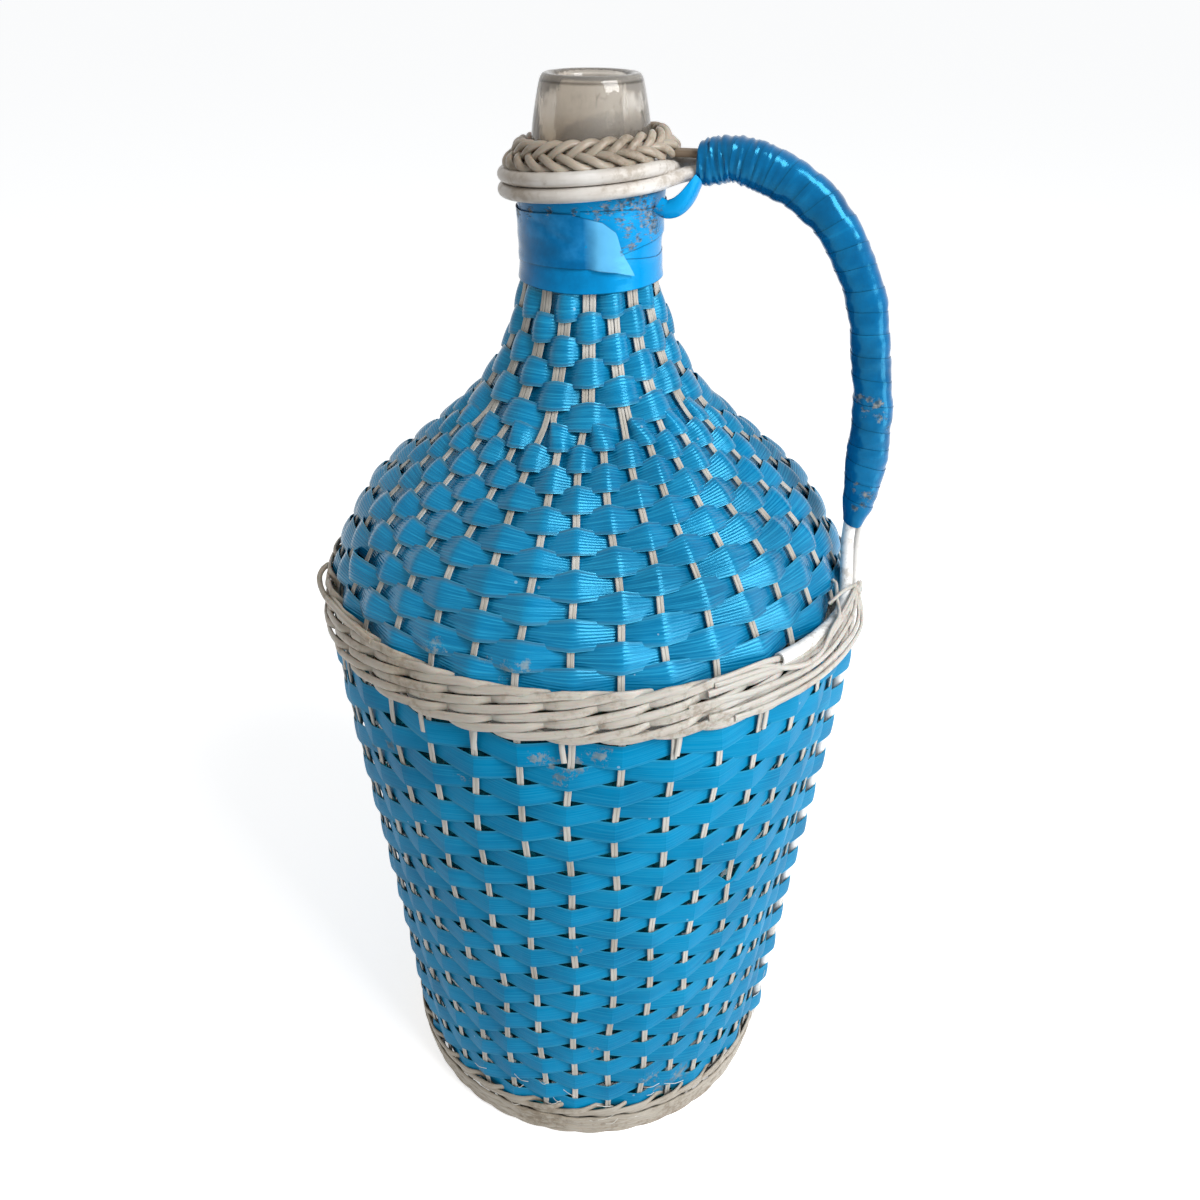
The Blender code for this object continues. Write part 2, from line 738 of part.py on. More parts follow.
def loop_point(angle):
    """A place on the tube's two turns round the neck, by its angle from the handle."""
    leaving = LOOP_LEAVING_ANGLE
    share = (angle - (FULL_TURN - leaving)) / (2 * leaving)
    share = min(max(share, 0.0), 1.0)
    radius = LOOP_RADIUS - LOOP_TUCK * math.sin(math.pi * share)
    azimuth = HANDLE_AZIMUTH + angle
    height = LIP_TOP - LOOP_HEIGHT_UNDER_LIP - LOOP_PITCH * ease(share)
    return place(radius, azimuth, height + radius * math.tan(LOOP_SLANT_ANGLE) * math.sin(azimuth))


def leg_points(start, start_way, stop, stop_way):
    """A bend between the loop and the grip, without its two ends."""
    first = start + start_way.normalized() * LEG_BEND
    second = stop - stop_way.normalized() * LEG_BEND
    found = []
    for step in range(1, LEG_POINTS):
        t = step / LEG_POINTS
        near = start.lerp(first, t).lerp(first.lerp(second, t), t)
        far = first.lerp(second, t).lerp(second.lerp(stop, t), t)
        found.append(near.lerp(far, t))
    return found


def loop_route():
    first = LOOP_LEAVING_ANGLE
    last = 2 * FULL_TURN - LOOP_LEAVING_ANGLE
    steps = round((last - first) / FULL_TURN * LOOP_TURN_POINTS)
    return [loop_point(mix(first, last, step / steps)) for step in range(steps + 1)]


def standing_route():
    """From the rope at the foot, in a stake's place, to the top of the band."""
    foot = SIDE.run_at(2 * ROPE_RADIUS + 2 * SEAT_GAP)
    bends = [run for run in SIDE.runs if foot < run < BAND_HIGH]
    return [
        SIDE.point(run, HANDLE_AZIMUTH, tube_standoff(run)) for run in (foot, *bends, BAND_HIGH)
    ]


def cut_end_route():
    """From the grip's tip, bending forwards to lie along the top of the band."""
    tip = grip_tube_point(1.0, -1)
    side_angle = TUBE_SIDE / tip.x
    seat = HALF_STAKE + TUBE_GAP + TUBE_RADIUS
    found = []
    for forward, rise in CUT_END_SHARES:
        azimuth = HANDLE_AZIMUTH - side_angle - forward * (CUT_END_ANGLE - side_angle)
        lying = SIDE.point(BAND_HIGH + TUBE_GAP + TUBE_RADIUS, azimuth, seat)
        standing = place(tip.x, azimuth, lying.z + CUT_END_RISE)
        found.append(lying.lerp(standing, rise))
    return found


def least_turn_gap(loop):
    """The least gap between two places on the loop that are half a turn or more apart along it."""
    apart = LOOP_TURN_POINTS // 2
    pairs = [(near, far) for at, near in enumerate(loop) for far in loop[at + apart :]]
    return min((far - near).length for near, far in pairs) - 2 * TUBE_RADIUS


def make_handle_tube(material):
    """One tube: up in a stake's place, through the grip, twice round the neck, and back to the band."""
    up = [grip_tube_point(1 - step / GRIP_SPANS, 1) for step in range(GRIP_SPANS + 1)]
    down = [grip_tube_point(step / GRIP_SPANS, -1, LOWER_LEG_DROP) for step in range(GRIP_SPANS + 1)]
    loop = loop_route()
    joining = leg_points(up[-1], up[-1] - up[-2], loop[0], loop[1] - loop[0])
    leaving = leg_points(loop[-1], loop[-1] - loop[-2], down[0], Vector((1, 0, 0)))
    route = [*standing_route(), *up, *joining, *loop, *leaving, *down, *cut_end_route()]
    print(f"handle_tube's least gap to itself is {least_turn_gap(loop) * 1000:.2f} mm")
    tube("handle_tube", route, TUBE_RADIUS, TUBE_BEVEL_SEGMENTS, material)


def make_handle_core(material):
    """A flat strip along the outer side of the two tubes."""
    lift = TUBE_RADIUS + SEAT_GAP + CORE_THICKNESS / 2 - TUBE_DROP
    half = Vector((0, CORE_WIDTH / 2, 0))
    rings = []
    for step in range(GRIP_SPANS + 1):
        share = CORE_TIP_SHARE * step / GRIP_SPANS
        middle = GRIP.at(share) + GRIP.normal(share) * lift
        rise = GRIP.normal(share) * CORE_THICKNESS / 2
        low, high = middle - rise, middle + rise
        rings.append([low - half, low + half, high + half, high - half])
    reach = Vector((-CORE_ROOT_LENGTH, 0, 0))
    rings.insert(0, [corner + reach for corner in rings[0]])
    loft("handle_core", rings, material)


def winding_section(turned):
    """The strip's four corners after this many turns."""
    pitch = (GRIP.length + WINDING_GAP) / (WINDING_TURNS + 1)
    strip = pitch - WINDING_GAP
    share = (strip / 2 + pitch * turned) / GRIP.length
    angle = FULL_TURN * turned
    depth = WINDING_HALF_DEPTH * read_shares(WINDING_DEPTH_SHARES, share)
    width = WINDING_HALF_WIDTH * read_shares(WINDING_WIDTH_SHARES, share)
    corners = []
    for along, outward in ((-1, -1), (1, -1), (1, 1), (-1, 1)):
        here = share + along * strip / 2 / GRIP.length
        grow = outward * WINDING_THICKNESS / 2
        way = GRIP.normal(here) * (depth + grow) * math.cos(angle)
        side = Vector((0, (width + grow) * math.sin(angle), 0))
        corners.append(GRIP.at(here) + way + side)
    return corners


def least_winding_gap(rings):
    """The least distance from a turn's upper edge to the lower edge of the turn after it."""
    return min((far[0] - near[1]).length for near, far in zip(rings, rings[WINDING_TURN_POINTS:]))


def make_handle_tape(material):
    steps = WINDING_TURNS * WINDING_TURN_POINTS
    rings = [winding_section(step / WINDING_TURN_POINTS) for step in range(steps + 1)]
    print(f"handle_tape's least gap to itself is {least_winding_gap(rings) * 1000:.2f} mm")
    loft("handle_tape", rings, material)


def make_tape_tail(material):
    """The tape's end, from under the grip's root down to the tape round the neck."""
    root = GRIP.at(0)
    start_height = root.z - WINDING_HALF_DEPTH - WINDING_THICKNESS - SEAT_GAP
    end_out = NECK_RADIUS + STANDOFF + HALF_STAKE + TAPE_THICKNESS + 3 * SEAT_GAP
    rings = []
    for step in range(TAIL_POINTS + 1):
        angle = FULL_TURN / 4 * step / TAIL_POINTS
        out = root.x - (root.x - end_out) * math.sin(angle)
        height = start_height - TAIL_DROP * (1 - math.cos(angle))
        way = Vector((math.cos(angle), 0, math.sin(angle))) * TAIL_THICKNESS
        middle = Vector((out, 0, height))
        half = Vector((0, TAIL_WIDTH / 2, 0))
        lift = Vector((-way.z, 0, way.x)) / 2
        low, high = middle - lift, middle + lift
        rings.append([low - half, low + half, high + half, high - half])
    loft("tape_tail", rings, material)


def main():
    clear_scene()
    glass = principled("glass", (0.50, 0.47, 0.40), 0.05, 0.9)
    mat = principled("mat_strand", (0.60, 0.56, 0.48), 0.6)
    stake = principled("stake_strand", (0.72, 0.72, 0.68), 0.5)
    lower = principled("lower_ribbon", (0.0, 0.28, 0.62), 0.45)
    upper = principled("upper_ribbon", (0.01, 0.25, 0.55), 0.35)
    strand = principled("beige_strand", (0.60, 0.54, 0.45), 0.4)
    white = principled("white_tube", (0.84, 0.83, 0.80), 0.35)
    core = principled("core_strip", (0.35, 0.27, 0.20), 0.6)
    tape = principled("blue_tape", (0.0, 0.22, 0.55), 0.2)
    make_bottle(glass)
    make_mat(mat)
    make_stakes(stake)
    make_ribbons(lower, upper)
    make_band_and_border(strand)
    make_foot_rope(strand)
    make_plait(strand)
    make_neck_tape(tape)
    make_handle_tube(white)
    make_handle_core(core)
    make_handle_tape(tape)
    make_tape_tail(tape)


main()
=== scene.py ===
"""Looks for a demijohn of about five litres: a glass bottle in a woven cover, with a bound handle."""

import math

import bpy
import numpy as np
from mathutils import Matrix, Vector


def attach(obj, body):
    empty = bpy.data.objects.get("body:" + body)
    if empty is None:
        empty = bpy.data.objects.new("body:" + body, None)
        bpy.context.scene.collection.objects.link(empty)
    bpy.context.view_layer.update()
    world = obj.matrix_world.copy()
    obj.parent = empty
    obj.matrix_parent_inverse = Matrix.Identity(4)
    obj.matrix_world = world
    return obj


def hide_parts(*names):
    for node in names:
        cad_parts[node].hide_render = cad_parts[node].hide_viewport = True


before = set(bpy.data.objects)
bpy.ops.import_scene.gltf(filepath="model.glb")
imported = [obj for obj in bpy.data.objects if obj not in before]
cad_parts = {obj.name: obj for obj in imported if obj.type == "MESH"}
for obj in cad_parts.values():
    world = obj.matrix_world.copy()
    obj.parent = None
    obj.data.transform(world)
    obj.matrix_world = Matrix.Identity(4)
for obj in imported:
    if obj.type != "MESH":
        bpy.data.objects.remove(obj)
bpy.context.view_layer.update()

MM = 0.001
TURN = 2 * math.pi
HANDLE = TURN / 4

# The bottle's side, from the heel to the neck, as radius and height.
BOTTLE_SIDE = (
    (0.07100, 0.01430), (0.07927, 0.10230), (0.08736, 0.17830), (0.08980, 0.21430),
    (0.08659, 0.23152), (0.08103, 0.24300), (0.07390, 0.25448), (0.05957, 0.26711),
    (0.04559, 0.27916), (0.03397, 0.29122), (0.02549, 0.30499), (0.02100, 0.31762),
    (0.01850, 0.32910), (0.01850, 0.36560),
)
NECK_FOOT = 0.32910
LIP_FOOT = 0.36560
LIP_TOP = 0.38700
STANDOFF = 2.15 * MM
FOOT_INSET = 1.8 * MM
FOOT_HEIGHT = 2.0 * MM
HALF_STAKE = 0.6 * MM
WIDEST = 0.21430

# The weave, as in the solids.
STAKES = 37
GROUPS = 19
LONE = 2
STAKE_STEP = TURN / STAKES
GROUP_STEP = TURN / GROUPS
LOWER_ROWS = 23
SINGLE_ROWS = 11
GROUPED_ROWS = 6
GATHERING_ROWS = 1.6
BAND_WIDTH = 16.5 * MM
SLANT = math.tan(math.radians(2.3))
SLANT_RAMP = 0.045
BORDER_HEIGHT = 0.0190
STAKE_END_HEIGHT = 0.3558
NECK_STAKE = 1.9 * MM
PAIR_GAP = 0.15 * MM

# The white tube that makes the handle, and the grip's middle line in the handle's plane.
TUBE_RADIUS = 2.1 * MM
TUBE_GAP = 0.4 * MM
TUBE_SIDE = TUBE_RADIUS + TUBE_GAP / 2
TUBE_SEAT = TUBE_RADIUS - HALF_STAKE
BAND_TUBE_STANDOFF = 4.0 * MM
TUBE_FOOT = 0.0048
TUBE_DROP = 1.2 * MM
LOWER_LEG_DROP = 1.4 * MM
TIP_SPREAD = 1.9 * MM
CUT_END_SINK = 3.0 * MM
LOOP_RADIUS = 26.5 * MM
LOOP_HEIGHT = LIP_TOP - 0.0256
LOOP_PITCH = 4.4 * MM
LOOP_TUCK = 0.9 * MM
LOOP_LEAVING = math.radians(33)
LOOP_SLANT = math.tan(math.radians(5.2))
LEG_BEND = 8.0 * MM
CUT_END = math.radians(36)
CUT_END_RISE = 14.0 * MM
CUT_END_SHARES = (
    (0.0, 1.0), (0.03, 0.62), (0.09, 0.30), (0.19, 0.10), (0.33, 0.02), (0.5, 0.0),
    (0.67, 0.0), (0.84, 0.0), (1.0, 0.0),
)
CUT_WALL = 0.55 * MM
CUT_BEVEL = 0.12 * MM
CUT_DEPTH = 1.2 * MM
GRIP_REACH = 0.0923
GRIP_LEAD = 8.0 * MM
GRIP_SHARES = (0.390, 0.498, 0.663, 0.802, 0.886, 0.947, 0.991, 1.0, 0.992)
GRIP_HEIGHTS = (0.3638, 0.3646, 0.3592, 0.3487, 0.3366, 0.3209, 0.2960, 0.2790, 0.2540)

rng = np.random.RandomState(11)


# Shared curves.


def ease(share):
    """A soft step from 0 to 1."""
    share = np.clip(share, 0.0, 1.0)
    return share * share * (3 - 2 * share)


def polar(radius, azimuth, height):
    """Points by radius, azimuth and height, or ways by how far each goes outwards and up."""
    return np.stack(np.broadcast_arrays(radius * np.sin(azimuth), -radius * np.cos(azimuth), height), -1)


def lengths(points):
    """The run along a line at each of its points."""
    steps = np.linalg.norm(np.diff(points, axis=0), axis=1)
    return np.concatenate([[0.0], np.cumsum(steps)])


class Side:
    """Where the middles of the stakes lie, by the run up from the foot, as a smooth curve."""

    def __init__(self):
        glass = np.array(BOTTLE_SIDE)
        along = np.gradient(glass, axis=0)
        along[1:-1] = glass[2:] - glass[:-2]
        out = np.stack([along[:, 1], -along[:, 0]], 1)
        out /= np.linalg.norm(out, axis=1)[:, None]
        knots = glass + out * STANDOFF
        foot = [knots[0, 0] - FOOT_INSET, FOOT_HEIGHT]
        knots = np.vstack([foot, knots])
        self.knots = knots
        self.runs = lengths(knots)
        self.slopes = np.empty_like(knots)
        self.slopes[1:-1] = (knots[2:] - knots[:-2]) / (self.runs[2:] - self.runs[:-2])[:, None]
        self.slopes[0] = (knots[1] - knots[0]) / self.runs[1]
        self.slopes[-1] = (0.0, 1.0)

    def at(self, run):
        """Place and outward normal at runs: radius, height, and the normal's two parts."""
        run = np.asarray(run, float)
        span = np.clip(np.searchsorted(self.runs, run) - 1, 0, len(self.runs) - 2)
        size = self.runs[span + 1] - self.runs[span]
        t = np.clip((run - self.runs[span]) / size, -0.4, 1.6)[..., None]
        size = size[..., None]
        p, q = self.knots[span], self.knots[span + 1]
        m, n = self.slopes[span] * size, self.slopes[span + 1] * size
        place = (2 * t**3 - 3 * t**2 + 1) * p + (t**3 - 2 * t**2 + t) * m
        place += (3 * t**2 - 2 * t**3) * q + (t**3 - t**2) * n
        way = (6 * t**2 - 6 * t) * (p - q) + (3 * t**2 - 4 * t + 1) * m + (3 * t**2 - 2 * t) * n
        way /= np.linalg.norm(way, axis=-1)[..., None]
        return place[..., 0], place[..., 1], way[..., 1], -way[..., 0]

    def run_at(self, height):
        runs = np.linspace(0, self.runs[-1], 4000)
        return float(np.interp(height, self.at(runs)[1], runs))

    def points(self, run, azimuth, offset):
        radius, height, out, up = self.at(run)
        return polar(radius + out * offset, azimuth, height + up * offset)

    def ways(self, run, azimuth):
        """The ways straight out of the side and up along it."""
        _, _, out, up = self.at(run)
        return polar(out, azimuth, up), polar(-up, azimuth, out)


SIDE = Side()
BORDER_TOP = SIDE.run_at(BORDER_HEIGHT)
BAND_LOW = SIDE.run_at(WIDEST)
BAND_HIGH = BAND_LOW + BAND_WIDTH
WEAVE_TOP = SIDE.run_at(NECK_FOOT)
STAKE_TOP = SIDE.run_at(STAKE_END_HEIGHT)
LOWER_PITCH = (BAND_LOW - BORDER_TOP) / (LOWER_ROWS + 1)
UPPER_PITCH = (WEAVE_TOP - BAND_HIGH) / (SINGLE_ROWS + GROUPED_ROWS + 1)

STEPS = (np.arange(STAKES) - LONE + STAKES // 2) % STAKES - STAKES // 2
GROUP_OF = np.sign(STEPS) * ((np.abs(STEPS) + 1) // 2)
SEAT_OF = np.sign(STEPS) * np.where(STEPS % 2 == 0, 0.5, -0.5)
# How the stakes wander: where in its waves each starts, how far it goes, and the length of the waves.
WANDER = rng.uniform(0, TURN, (3, STAKES))
WANDER_SIZE = np.where(np.arange(STAKES) == 0, 0.0, math.radians(0.45))
LONG_WAVE = 0.021
SHORT_WAVE = 0.0093
WANDER_RAMP = 0.03


def gathered(stake, run):
    """How far a stake has moved into its pair at a run, from 0 to 1."""
    rows = (run - BAND_HIGH) / UPPER_PITCH - stake / STAKES
    return ease((rows - SINGLE_ROWS - 0.5) / GATHERING_ROWS + 1)


def stake_azimuth(stake, run):
    """Where a stake stands at a run: evenly spaced, wandering a little, and in pairs at the neck."""
    even = HANDLE + stake * STAKE_STEP
    seated = HANDLE + LONE * STAKE_STEP + GROUP_OF[stake] * GROUP_STEP
    seated = seated + SEAT_OF[stake] * (NECK_STAKE + PAIR_GAP) / SIDE.at(run)[0]
    lean = (seated - even + TURN / 2) % TURN - TURN / 2
    share = gathered(stake, run)
    drift = np.sin(run / LONG_WAVE + WANDER[0, stake])
    drift = drift + 0.8 * np.sin(run / SHORT_WAVE + WANDER[1, stake])
    return even + lean * share + WANDER_SIZE[stake] * drift * (1 - share) * ease(run / WANDER_RAMP)


def slant_rise(run, azimuth, low, high):
    """How much higher the rows lie on the handle's side, easing in and out between two runs."""
    ramp = np.minimum(ease((run - low) / SLANT_RAMP), ease((high - run) / SLANT_RAMP))
    return ramp * SIDE.at(run)[0] * SLANT * np.sin(azimuth)


# Mesh helpers.


def deselect():
    if bpy.context.object and bpy.context.object.mode != "OBJECT":
        bpy.ops.object.mode_set(mode="OBJECT")
    bpy.ops.object.select_all(action="DESELECT")


def settle(piece, name, material, nodes=(), smooth=60):
    """Names a finished piece, shades it, gives it its material and joins it to the frame."""
    deselect()
    piece.select_set(True)
    bpy.context.view_layer.objects.active = piece
    bpy.ops.object.transform_apply(location=True, rotation=True, scale=True)
    piece.name = name
    piece.data.name = name
    bpy.ops.object.shade_smooth_by_angle(angle=math.radians(smooth))
    for modifier in list(piece.modifiers):
        bpy.ops.object.modifier_apply(modifier=modifier.name)
    piece.data.materials.clear()
    piece.data.materials.append(material)
    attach(piece, "root")
    if nodes:
        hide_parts(*nodes)


def grid(rows, columns, points, along, across, creases=()):
    """A grid primitive laid on points of rows + 1 by columns + 1, with its map in metres along.

    Edges that run across it in one of the rows called creases are marked sharp.
    """
    deselect()
    bpy.ops.mesh.primitive_grid_add(x_subdivisions=rows, y_subdivisions=columns, size=1)
    piece = bpy.context.object
    mesh = piece.data
    flat = np.empty(len(mesh.vertices) * 3, np.float32)
    mesh.vertices.foreach_get("co", flat)
    flat = flat.reshape(-1, 3)
    i = np.rint((flat[:, 0] + 0.5) * rows).astype(int)
    j = np.rint((flat[:, 1] + 0.5) * columns).astype(int)
    mesh.vertices.foreach_set("co", points[i, j].astype(np.float32).ravel())
    corner = np.empty(len(mesh.loops), np.int32)
    mesh.loops.foreach_get("vertex_index", corner)
    uv = np.stack([along[i[corner]], across[j[corner]]], 1)
    mesh.uv_layers.active.data.foreach_set("uv", uv.astype(np.float32).ravel())
    if len(creases):
        ends = np.empty(len(mesh.edges) * 2, np.int32)
        mesh.edges.foreach_get("vertices", ends)
        first, second = i[ends.reshape(-1, 2)].T
        mesh.edges.foreach_set("use_edge_sharp", (first == second) & np.isin(first, creases))
    mesh.update()
    return piece


def thicken(piece, thickness):
    """Solidify, inwards."""
    modifier = piece.modifiers.new("wall", "SOLIDIFY")
    modifier.thickness = thickness
    modifier.offset = -1
    bpy.ops.object.modifier_apply(modifier=modifier.name)


def close_up():
    """Fills the holes of the piece that is being edited, and turns its faces outwards."""
    bpy.ops.mesh.select_all(action="SELECT")
    bpy.ops.mesh.fill_holes(sides=0)
    face_outwards()


def face_outwards():
    """Turns the piece's faces outwards and leaves edit mode."""
    bpy.ops.mesh.select_all(action="SELECT")
    bpy.ops.mesh.normals_make_consistent(inside=False)
    bpy.ops.object.mode_set(mode="OBJECT")


def sew(piece, close_ends):
    """Merges the grid's two edges into a tube and closes its ends."""
    bpy.ops.object.mode_set(mode="EDIT")
    bpy.ops.mesh.select_all(action="SELECT")
    bpy.ops.mesh.remove_doubles(threshold=0.000001)
    if close_ends:
        close_up()
    else:
        face_outwards()
    return piece


def lathe(profile, segments):
    """A circle extruded and scaled from one ring of the profile to the next, its holes filled."""
    deselect()
    radius, height = profile[0]
    bpy.ops.mesh.primitive_circle_add(vertices=segments, radius=radius, location=(0, 0, height))
    piece = bpy.context.object
    bpy.ops.object.transform_apply(location=True)
    bpy.ops.object.mode_set(mode="EDIT")
    bpy.ops.mesh.select_all(action="SELECT")
    for next_radius, next_height in profile[1:]:
        move = {"value": (0, 0, next_height - height)}
        bpy.ops.mesh.extrude_region_move(TRANSFORM_OT_translate=move)
        grow = next_radius / radius
        bpy.ops.transform.resize(value=(grow, grow, 1), center_override=(0, 0, next_height))
        radius, height = next_radius, next_height
    close_up()
    return piece


def rounded(angle, square):
    """The cosine and sine of angles, drawn towards a box as square goes below 1."""
    cosine, sine = np.cos(angle), np.sin(angle)
    return np.sign(cosine) * np.abs(cosine) ** square, np.sign(sine) * np.abs(sine) ** square


def tube_points(centres, first, second, sides, closed=False, square=1.0):
    """Rings of an oval round centres, from two half axes at each, and the run along them."""
    if closed:
        centres, first, second = (np.vstack([a, a[:1]]) for a in (centres, first, second))
    out, over = rounded(np.linspace(0, TURN, sides + 1), square)
    ring = out[None, :, None] * first[:, None] + over[None, :, None] * second[:, None]
    return centres[:, None] + ring, lengths(centres)


def unit(ways):
    return ways / np.linalg.norm(ways, axis=-1, keepdims=True)


def square_to(ways, along):
    """Ways turned to stand square to others."""
    return unit(ways - along * (ways * along).sum(1)[:, None])


def smooth_through(knots, steps):
    """Points on a smooth curve through the given ones, each span cut into steps."""
    knots = np.asarray(knots, float)
    ends = np.vstack([2 * knots[0] - knots[1], knots, 2 * knots[-1] - knots[-2]])
    before, start, stop, after = (ends[at : len(ends) - 3 + at, None] for at in range(4))
    t = (np.arange(steps) / steps)[None, :, None]
    found = start + (
        (stop - before) * t
        + (2 * before - 5 * start + 4 * stop - after) * t**2
        + (3 * start - before - 3 * stop + after) * t**3
    ) / 2
    return np.vstack([found.reshape(-1, knots.shape[1]), knots[-1:]])


def evenly(points, step):
    """The same line with its points a step apart."""
    runs = lengths(points)
    places = np.linspace(0, runs[-1], max(int(runs[-1] / step), 2))
    return np.stack([np.interp(places, runs, points[:, axis]) for axis in range(3)], 1)


def carried(centres, lead):
    """Two ways across a line of points, the first carried along it without a twist from lead."""
    along = unit(np.gradient(centres, axis=0))
    first = np.empty_like(centres)
    lead = np.asarray(lead, float)
    for at, way in enumerate(along):
        lead = lead - way * lead.dot(way)
        lead /= np.linalg.norm(lead)
        first[at] = lead
    return first, np.cross(along, first)


def strand(centres, half_width, half_depth, sides=8, lead=(0, 0, 1), square=1.0):
    """A closed-ended strand along a line, its width laid along lead."""
    first, second = carried(centres, lead)
    return tube(centres, first * half_width, second * half_depth, sides, square, closed=False)


def tube(centres, first, second, sides, square=0.8, closed=True):
    """An oval strand along a line: closed into a ring, or with its two ends filled."""
    points, along = tube_points(centres, first, second, sides, closed, square)
    piece = grid(len(points) - 1, sides, points, along, np.linspace(0, 1, sides + 1))
    return sew(piece, not closed)


# Materials.


class Value:
    """An output in a node tree. Signs, and by, make the Math nodes that work on it."""

    def __init__(self, socket):
        self.socket = socket
        self.tree = socket.id_data

    def __add__(self, other):
        return maths("ADD", self, other)

    def __sub__(self, other):
        return maths("SUBTRACT", self, other)

    def __rsub__(self, other):
        return maths("SUBTRACT", other, self)

    def __mul__(self, other):
        return maths("MULTIPLY", self, other)

    def by(self, operation, other=0.5):
        return maths(operation, self, other)

    def clamped(self):
        """The same sum or product, kept between 0 and 1."""
        self.socket.node.use_clamp = True
        return self

    def part(self, axis):
        return Value(node(self.tree, "SeparateXYZ", {0: self}).outputs[axis])


def node(tree, kind, inputs=None, **settings):
    """A node with its settings; an input is a number, a tuple, or a Value that is linked to it."""
    made = tree.nodes.new("ShaderNode" + kind)
    for key, value in settings.items():
        setattr(made, key, value)
    for socket, value in (inputs or {}).items():
        if isinstance(value, Value):
            tree.links.new(value.socket, made.inputs[socket])
        else:
            made.inputs[socket].default_value = value
    return made


def maths(operation, first, second):
    tree = first.tree if isinstance(first, Value) else second.tree
    return Value(node(tree, "Math", {0: first, 1: second}, operation=operation).outputs[0])


def coordinates(tree):
    """A strip's map, in metres along it and 0 to 1 across it, and the place on the whole object."""
    outputs = tree.nodes.new("ShaderNodeTexCoord").outputs
    return Value(outputs["UV"]), Value(outputs["Object"])


def noise(place, scale, detail, roughness=0.5):
    inputs = {"Vector": place, "Scale": scale, "Detail": detail, "Roughness": roughness}
    return Value(node(place.tree, "TexNoise", inputs).outputs[0])


def mapped(place, scale, rotation=(0, 0, 0)):
    inputs = {"Vector": place, "Scale": scale, "Rotation": rotation}
    return Value(node(place.tree, "Mapping", inputs).outputs[0])


def falling(value, start, stop):
    """1 where the value is at the start, down to 0 where it is at the stop."""
    inputs = {"Value": value, "From Min": start, "From Max": stop, "To Min": 1.0, "To Max": 0.0}
    return Value(node(value.tree, "MapRange", inputs).outputs[0])


def from_left(place, left, right):
    return falling(place.part(0), left, right)


def ramp(source, *stops):
    """Colours, or greys, at places on the source's way from 0 to 1."""
    made = node(source.tree, "ValToRGB", {"Fac": source})
    while len(made.color_ramp.elements) < len(stops):
        made.color_ramp.elements.new(0.5)
    for element, (position, colour) in zip(made.color_ramp.elements, stops):
        element.position = position
        element.color = (*(colour if isinstance(colour, tuple) else (colour,) * 3), 1)
    return Value(made.outputs["Color"])


def mixed(factor, first, second):
    """The second colour laid over the first as far as the factor says."""
    first, second = (colour if isinstance(colour, Value) else (*colour, 1) for colour in (first, second))
    return Value(node(factor.tree, "Mix", {0: factor, 6: first, 7: second}, data_type="RGBA").outputs[2])


def group(name, inputs, outputs):
    """A node group and its inputs: a vector where None is given, or else a number with its default."""
    tree = bpy.data.node_groups.new(name, "ShaderNodeTree")
    for label, value in inputs.items():
        kind = "NodeSocketVector" if value is None else "NodeSocketFloat"
        socket = tree.interface.new_socket(label, in_out="INPUT", socket_type=kind)
        if value is not None:
            socket.default_value = value
    for label in outputs:
        tree.interface.new_socket(label, in_out="OUTPUT", socket_type="NodeSocketFloat")
    start = tree.nodes.new("NodeGroupInput")
    return tree, [Value(start.outputs[label]) for label in inputs]


def give(tree, *values):
    """The group, with the values linked to its outputs."""
    end = tree.nodes.new("NodeGroupOutput")
    for value, socket in zip(values, end.inputs):
        tree.links.new(value.socket, socket)
    return tree


def drawn_out(strip, along, across):
    """The strip's map with its two ways scaled."""
    inputs = {0: strip.part(0) * along, 1: strip.part(1) * across}
    return Value(node(strip.tree, "CombineXYZ", inputs).outputs[0])


def make_fibre_group():
    """Fine lengthwise lines along a strip."""
    inputs = {"Map": None, "Lines": 14.0, "Along": 25.0}
    tree, (strip, lines, along) = group("fibre_lines", inputs, ["Lines"])
    return give(tree, noise(drawn_out(strip, along, lines), scale=1.0, detail=3.0, roughness=0.6))


def make_dust_group():
    """Patches of dust and scuffs that lie on the whole object, and fine specks in them."""
    tree, (amount, size) = group("dust_patches", {"Amount": 0.5, "Size": 30.0}, ["Mask", "Speck"])
    place = coordinates(tree)[1]
    wide = noise(place, scale=size, detail=4.0, roughness=0.65)
    fine = noise(place, scale=620.0, detail=4.0, roughness=0.7)
    patch = ((wide - (0.80 - amount * 0.3)) * 7.0).clamped()
    grains = ((fine - 0.50) * 12.0).clamped()
    speck = node(tree, "TexVoronoi", {"Scale": 95.0, "Vector": place}).outputs["Distance"]
    return give(tree, patch * grains, Value(speck).by("LESS_THAN", 0.045))


def make_edge_group():
    """A mask for the two long edges of a strip."""
    tree, (strip, width) = group("strip_edges", {"Map": None, "Width": 0.05}, ["Edge"])
    off = (strip.part(1) - 0.5).by("ABSOLUTE") * 2.0
    return give(tree, (off - (1.0 - width)).by("DIVIDE", width).clamped())


def make_rib_group():
    """Ribs along a strip: their height, and a mask of painted highlight streaks on their crests, here and
    there.
    """
    tree, (strip, ribs) = group("strip_ribs", {"Map": None, "Ribs": 8.0}, ["Height", "Highlight"])
    drift = noise(drawn_out(strip, 75.0, 5.0), scale=1.0, detail=2.0)
    turns = strip.part(1) * ribs * TURN + drift * 1.6
    wave = turns.by("SINE") * 0.5 + 0.5
    # The rib crests, where a slow noise allows, get a painted highlight in pale streaks.
    streak_highlight = ((wave - 0.62) * 4.0).clamped()
    worn = ((drift - 0.46) * 6.0).clamped()
    return give(tree, wave, streak_highlight * worn)


FIBRES = make_fibre_group()
RIBS = make_rib_group()
DUST = make_dust_group()
EDGES = make_edge_group()


